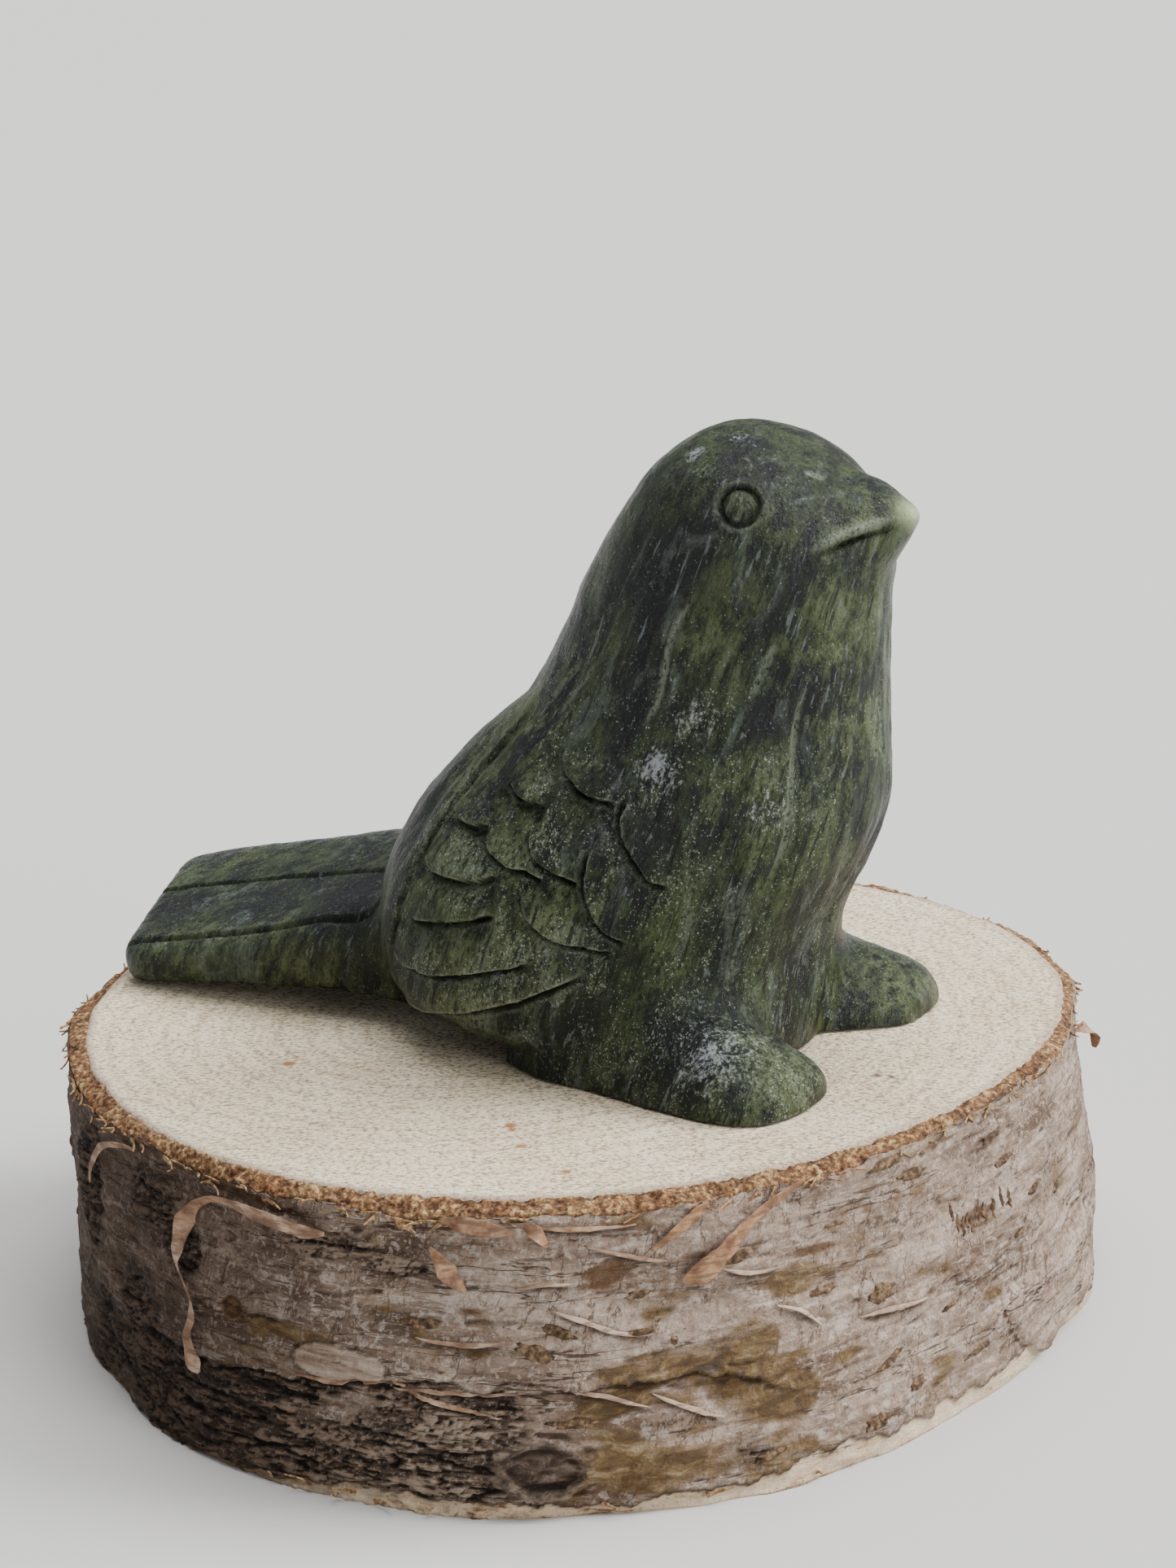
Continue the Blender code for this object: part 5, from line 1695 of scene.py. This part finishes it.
def rim_shreds():
    """Shreds in random directions just under the rim, pointing either way round the trunk."""
    made = []
    for degrees in rng.uniform(-180, 180, SHREDS):
        top = SLICE_THICKNESS - float(rim_drop(np.radians(np.array([degrees])))[0])
        way = rng.choice((-1, 1))
        height, length = top - rng.uniform(0.0001, 0.0006), way * rng.uniform(0.0008, 0.0032)
        width, lift = rng.uniform(0.0003, 0.0008), rng.uniform(0.0002, 0.0013)
        made.append(shred(degrees, height, length, width, lift, rng.uniform(-0.0008, 0.0006)))
    return made


def foot_splinters():
    """A few splinters just over the foot, with their own directions and random lengths."""
    made = []
    for degrees in SPLINTERS_AT:
        height, length = rng.uniform(0.0006, 0.0014), rng.uniform(-0.003, 0.003)
        lift, climb = rng.uniform(0.0008, 0.0020), rng.uniform(-0.0003, 0.0010)
        made.append(shred(degrees, height, length, 0.0006, lift, climb))
    return made


skin = joined(rim_shreds() + foot_splinters())
shreds = make_piece("bark_shreds", skin, rim.data.materials[0], {"crumb": np.full(len(skin[0]), 0.9)})

# %% Cork dashes
# direction in degrees, height, length and width in mm, tilt in degrees
DASHES = (
    (-99.1, 27.6, 3.6, 1.04, 12), (-117, 30.0, 5.5, 1.04, 6), (-113.3, 27.8, 4.6, 1.17, 0),
    (-97, 24.4, 3.4, 0.78, 10), (-91.2, 19.6, 3.2, 0.91, 10), (-84.7, 17.3, 2.4, 0.91, 12),
    (-94.6, 15.7, 2.2, 0.78, 10), (-118.2, 16.6, 4.2, 1.95, 0), (-117.8, 9.3, 4.6, 0.78, 14),
    (-103.5, 5.8, 3.8, 0.78, 10), (-113.5, 5.5, 2.8, 1.17, 8), (-120.2, 3.8, 3.8, 1.43, 8),
    (-133.2, 3.8, 4.0, 1.04, 12), (-167.2, 19.5, 5.0, 1.04, 0), (-155.7, 17.1, 4.0, 1.56, -16),
    (-145.9, 18.5, 3.8, 0.91, 4), (-145.7, 22.1, 3.0, 0.78, 6), (-153.5, 19.1, 3.4, 1.17, -20),
    (-152.2, 9.7, 4.6, 1.17, 0), (-142.4, 17.2, 0.8, 0.91, 0), (-136, 24.6, 5.5, 1.17, 6),
    (-124, 25.4, 3.0, 0.65, 4), (-108, 12.0, 2.6, 0.65, 10), (-126, 19.0, 3.6, 0.91, 4),
)
# direction and height of narrow upright ticks
TICKS = (
    (-106.6, 21.6), (-105.6, 20.2), (-104.6, 19.4), (-103.7, 19.6), (-102.9, 19.2), (-101.6, 20.1),
    (-100.6, 19.6), (-99.2, 19.9), (-97.6, 20.6), (-96.2, 20.0),
)

DASH_CORNERS, DASH_RINGS = 26, 7
HIDDEN_DASHES = 26


def dash(degrees, height, length, width, tilt, proud=0.00030):
    """A lens on the bark: rings of an ellipse from its hidden underside over its rim to its top. The
    outline is made ragged by a random field, and every point is laid on the bark's own relief."""
    phi = np.linspace(0, 2 * math.pi, DASH_CORNERS, endpoint=False)
    psi = np.linspace(-0.46, 0.46, DASH_RINGS)[:, None] * math.pi
    edge = unit_circle(phi) + (degrees, height, 0)
    ragged = 1 + 0.36 * layered(edge, 0.6, 201, 3)
    a = 0.5 * length * np.cos(psi) * np.cos(phi) * ragged
    b = 0.5 * width * np.cos(psi) * np.sin(phi) * ragged
    c, s = math.cos(math.radians(tilt)), math.sin(math.radians(tilt))
    turn = math.radians(degrees) + 0.001 * (a * c - b * s) / RADIUS
    up = 0.001 * (height + a * s + b * c)
    return closed_skin(over_bark(turn, np.clip(up, 0.0002, SLICE_THICKNESS), proud * np.sin(psi) + 0 * phi))


def hidden_dashes():
    """Dashes for the sides that the picture doesn't show, scattered with a fixed seed."""
    made = []
    for degrees in rng.uniform(-72, 130, HIDDEN_DASHES):
        height, length = rng.uniform(3, 28), rng.uniform(2.4, 5.0)
        made.append(dash(degrees, height, length, rng.uniform(0.5, 1.0), rng.uniform(-6, 12)))
    return made


def dash_material():
    """Dark cork, its tone and its roughness from one fine noise."""
    look = Look("cork_dashes")
    grit = look.noise(look.place, 0.0007, 5, 0.6)
    colour = look.ramp(grit, (0.35, 0.020, 0.010, 0.004), (0.50, 0.095, 0.050, 0.020),
                       (0.64, 0.25, 0.16, 0.088))
    return look.finished(colour, 0.85, [(grit, 0.6, 0.0003)])


tick_skins = [dash(degrees, height, 0.60, 2.4, 8, 0.00012) for degrees, height in TICKS]
skin = joined([dash(*row) for row in DASHES] + tick_skins + hidden_dashes())
dashes = make_piece("cork_dashes", skin, dash_material())

# %% [markdown]
# ## Riding on the body
#
# Every piece rides on the one body, and those of the slice stand for its solid.

# %% Ride and finish
for piece in (bark, wood, rim, ribbons, shreds, dashes):
    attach(piece, "root")
    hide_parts("birch_slice")
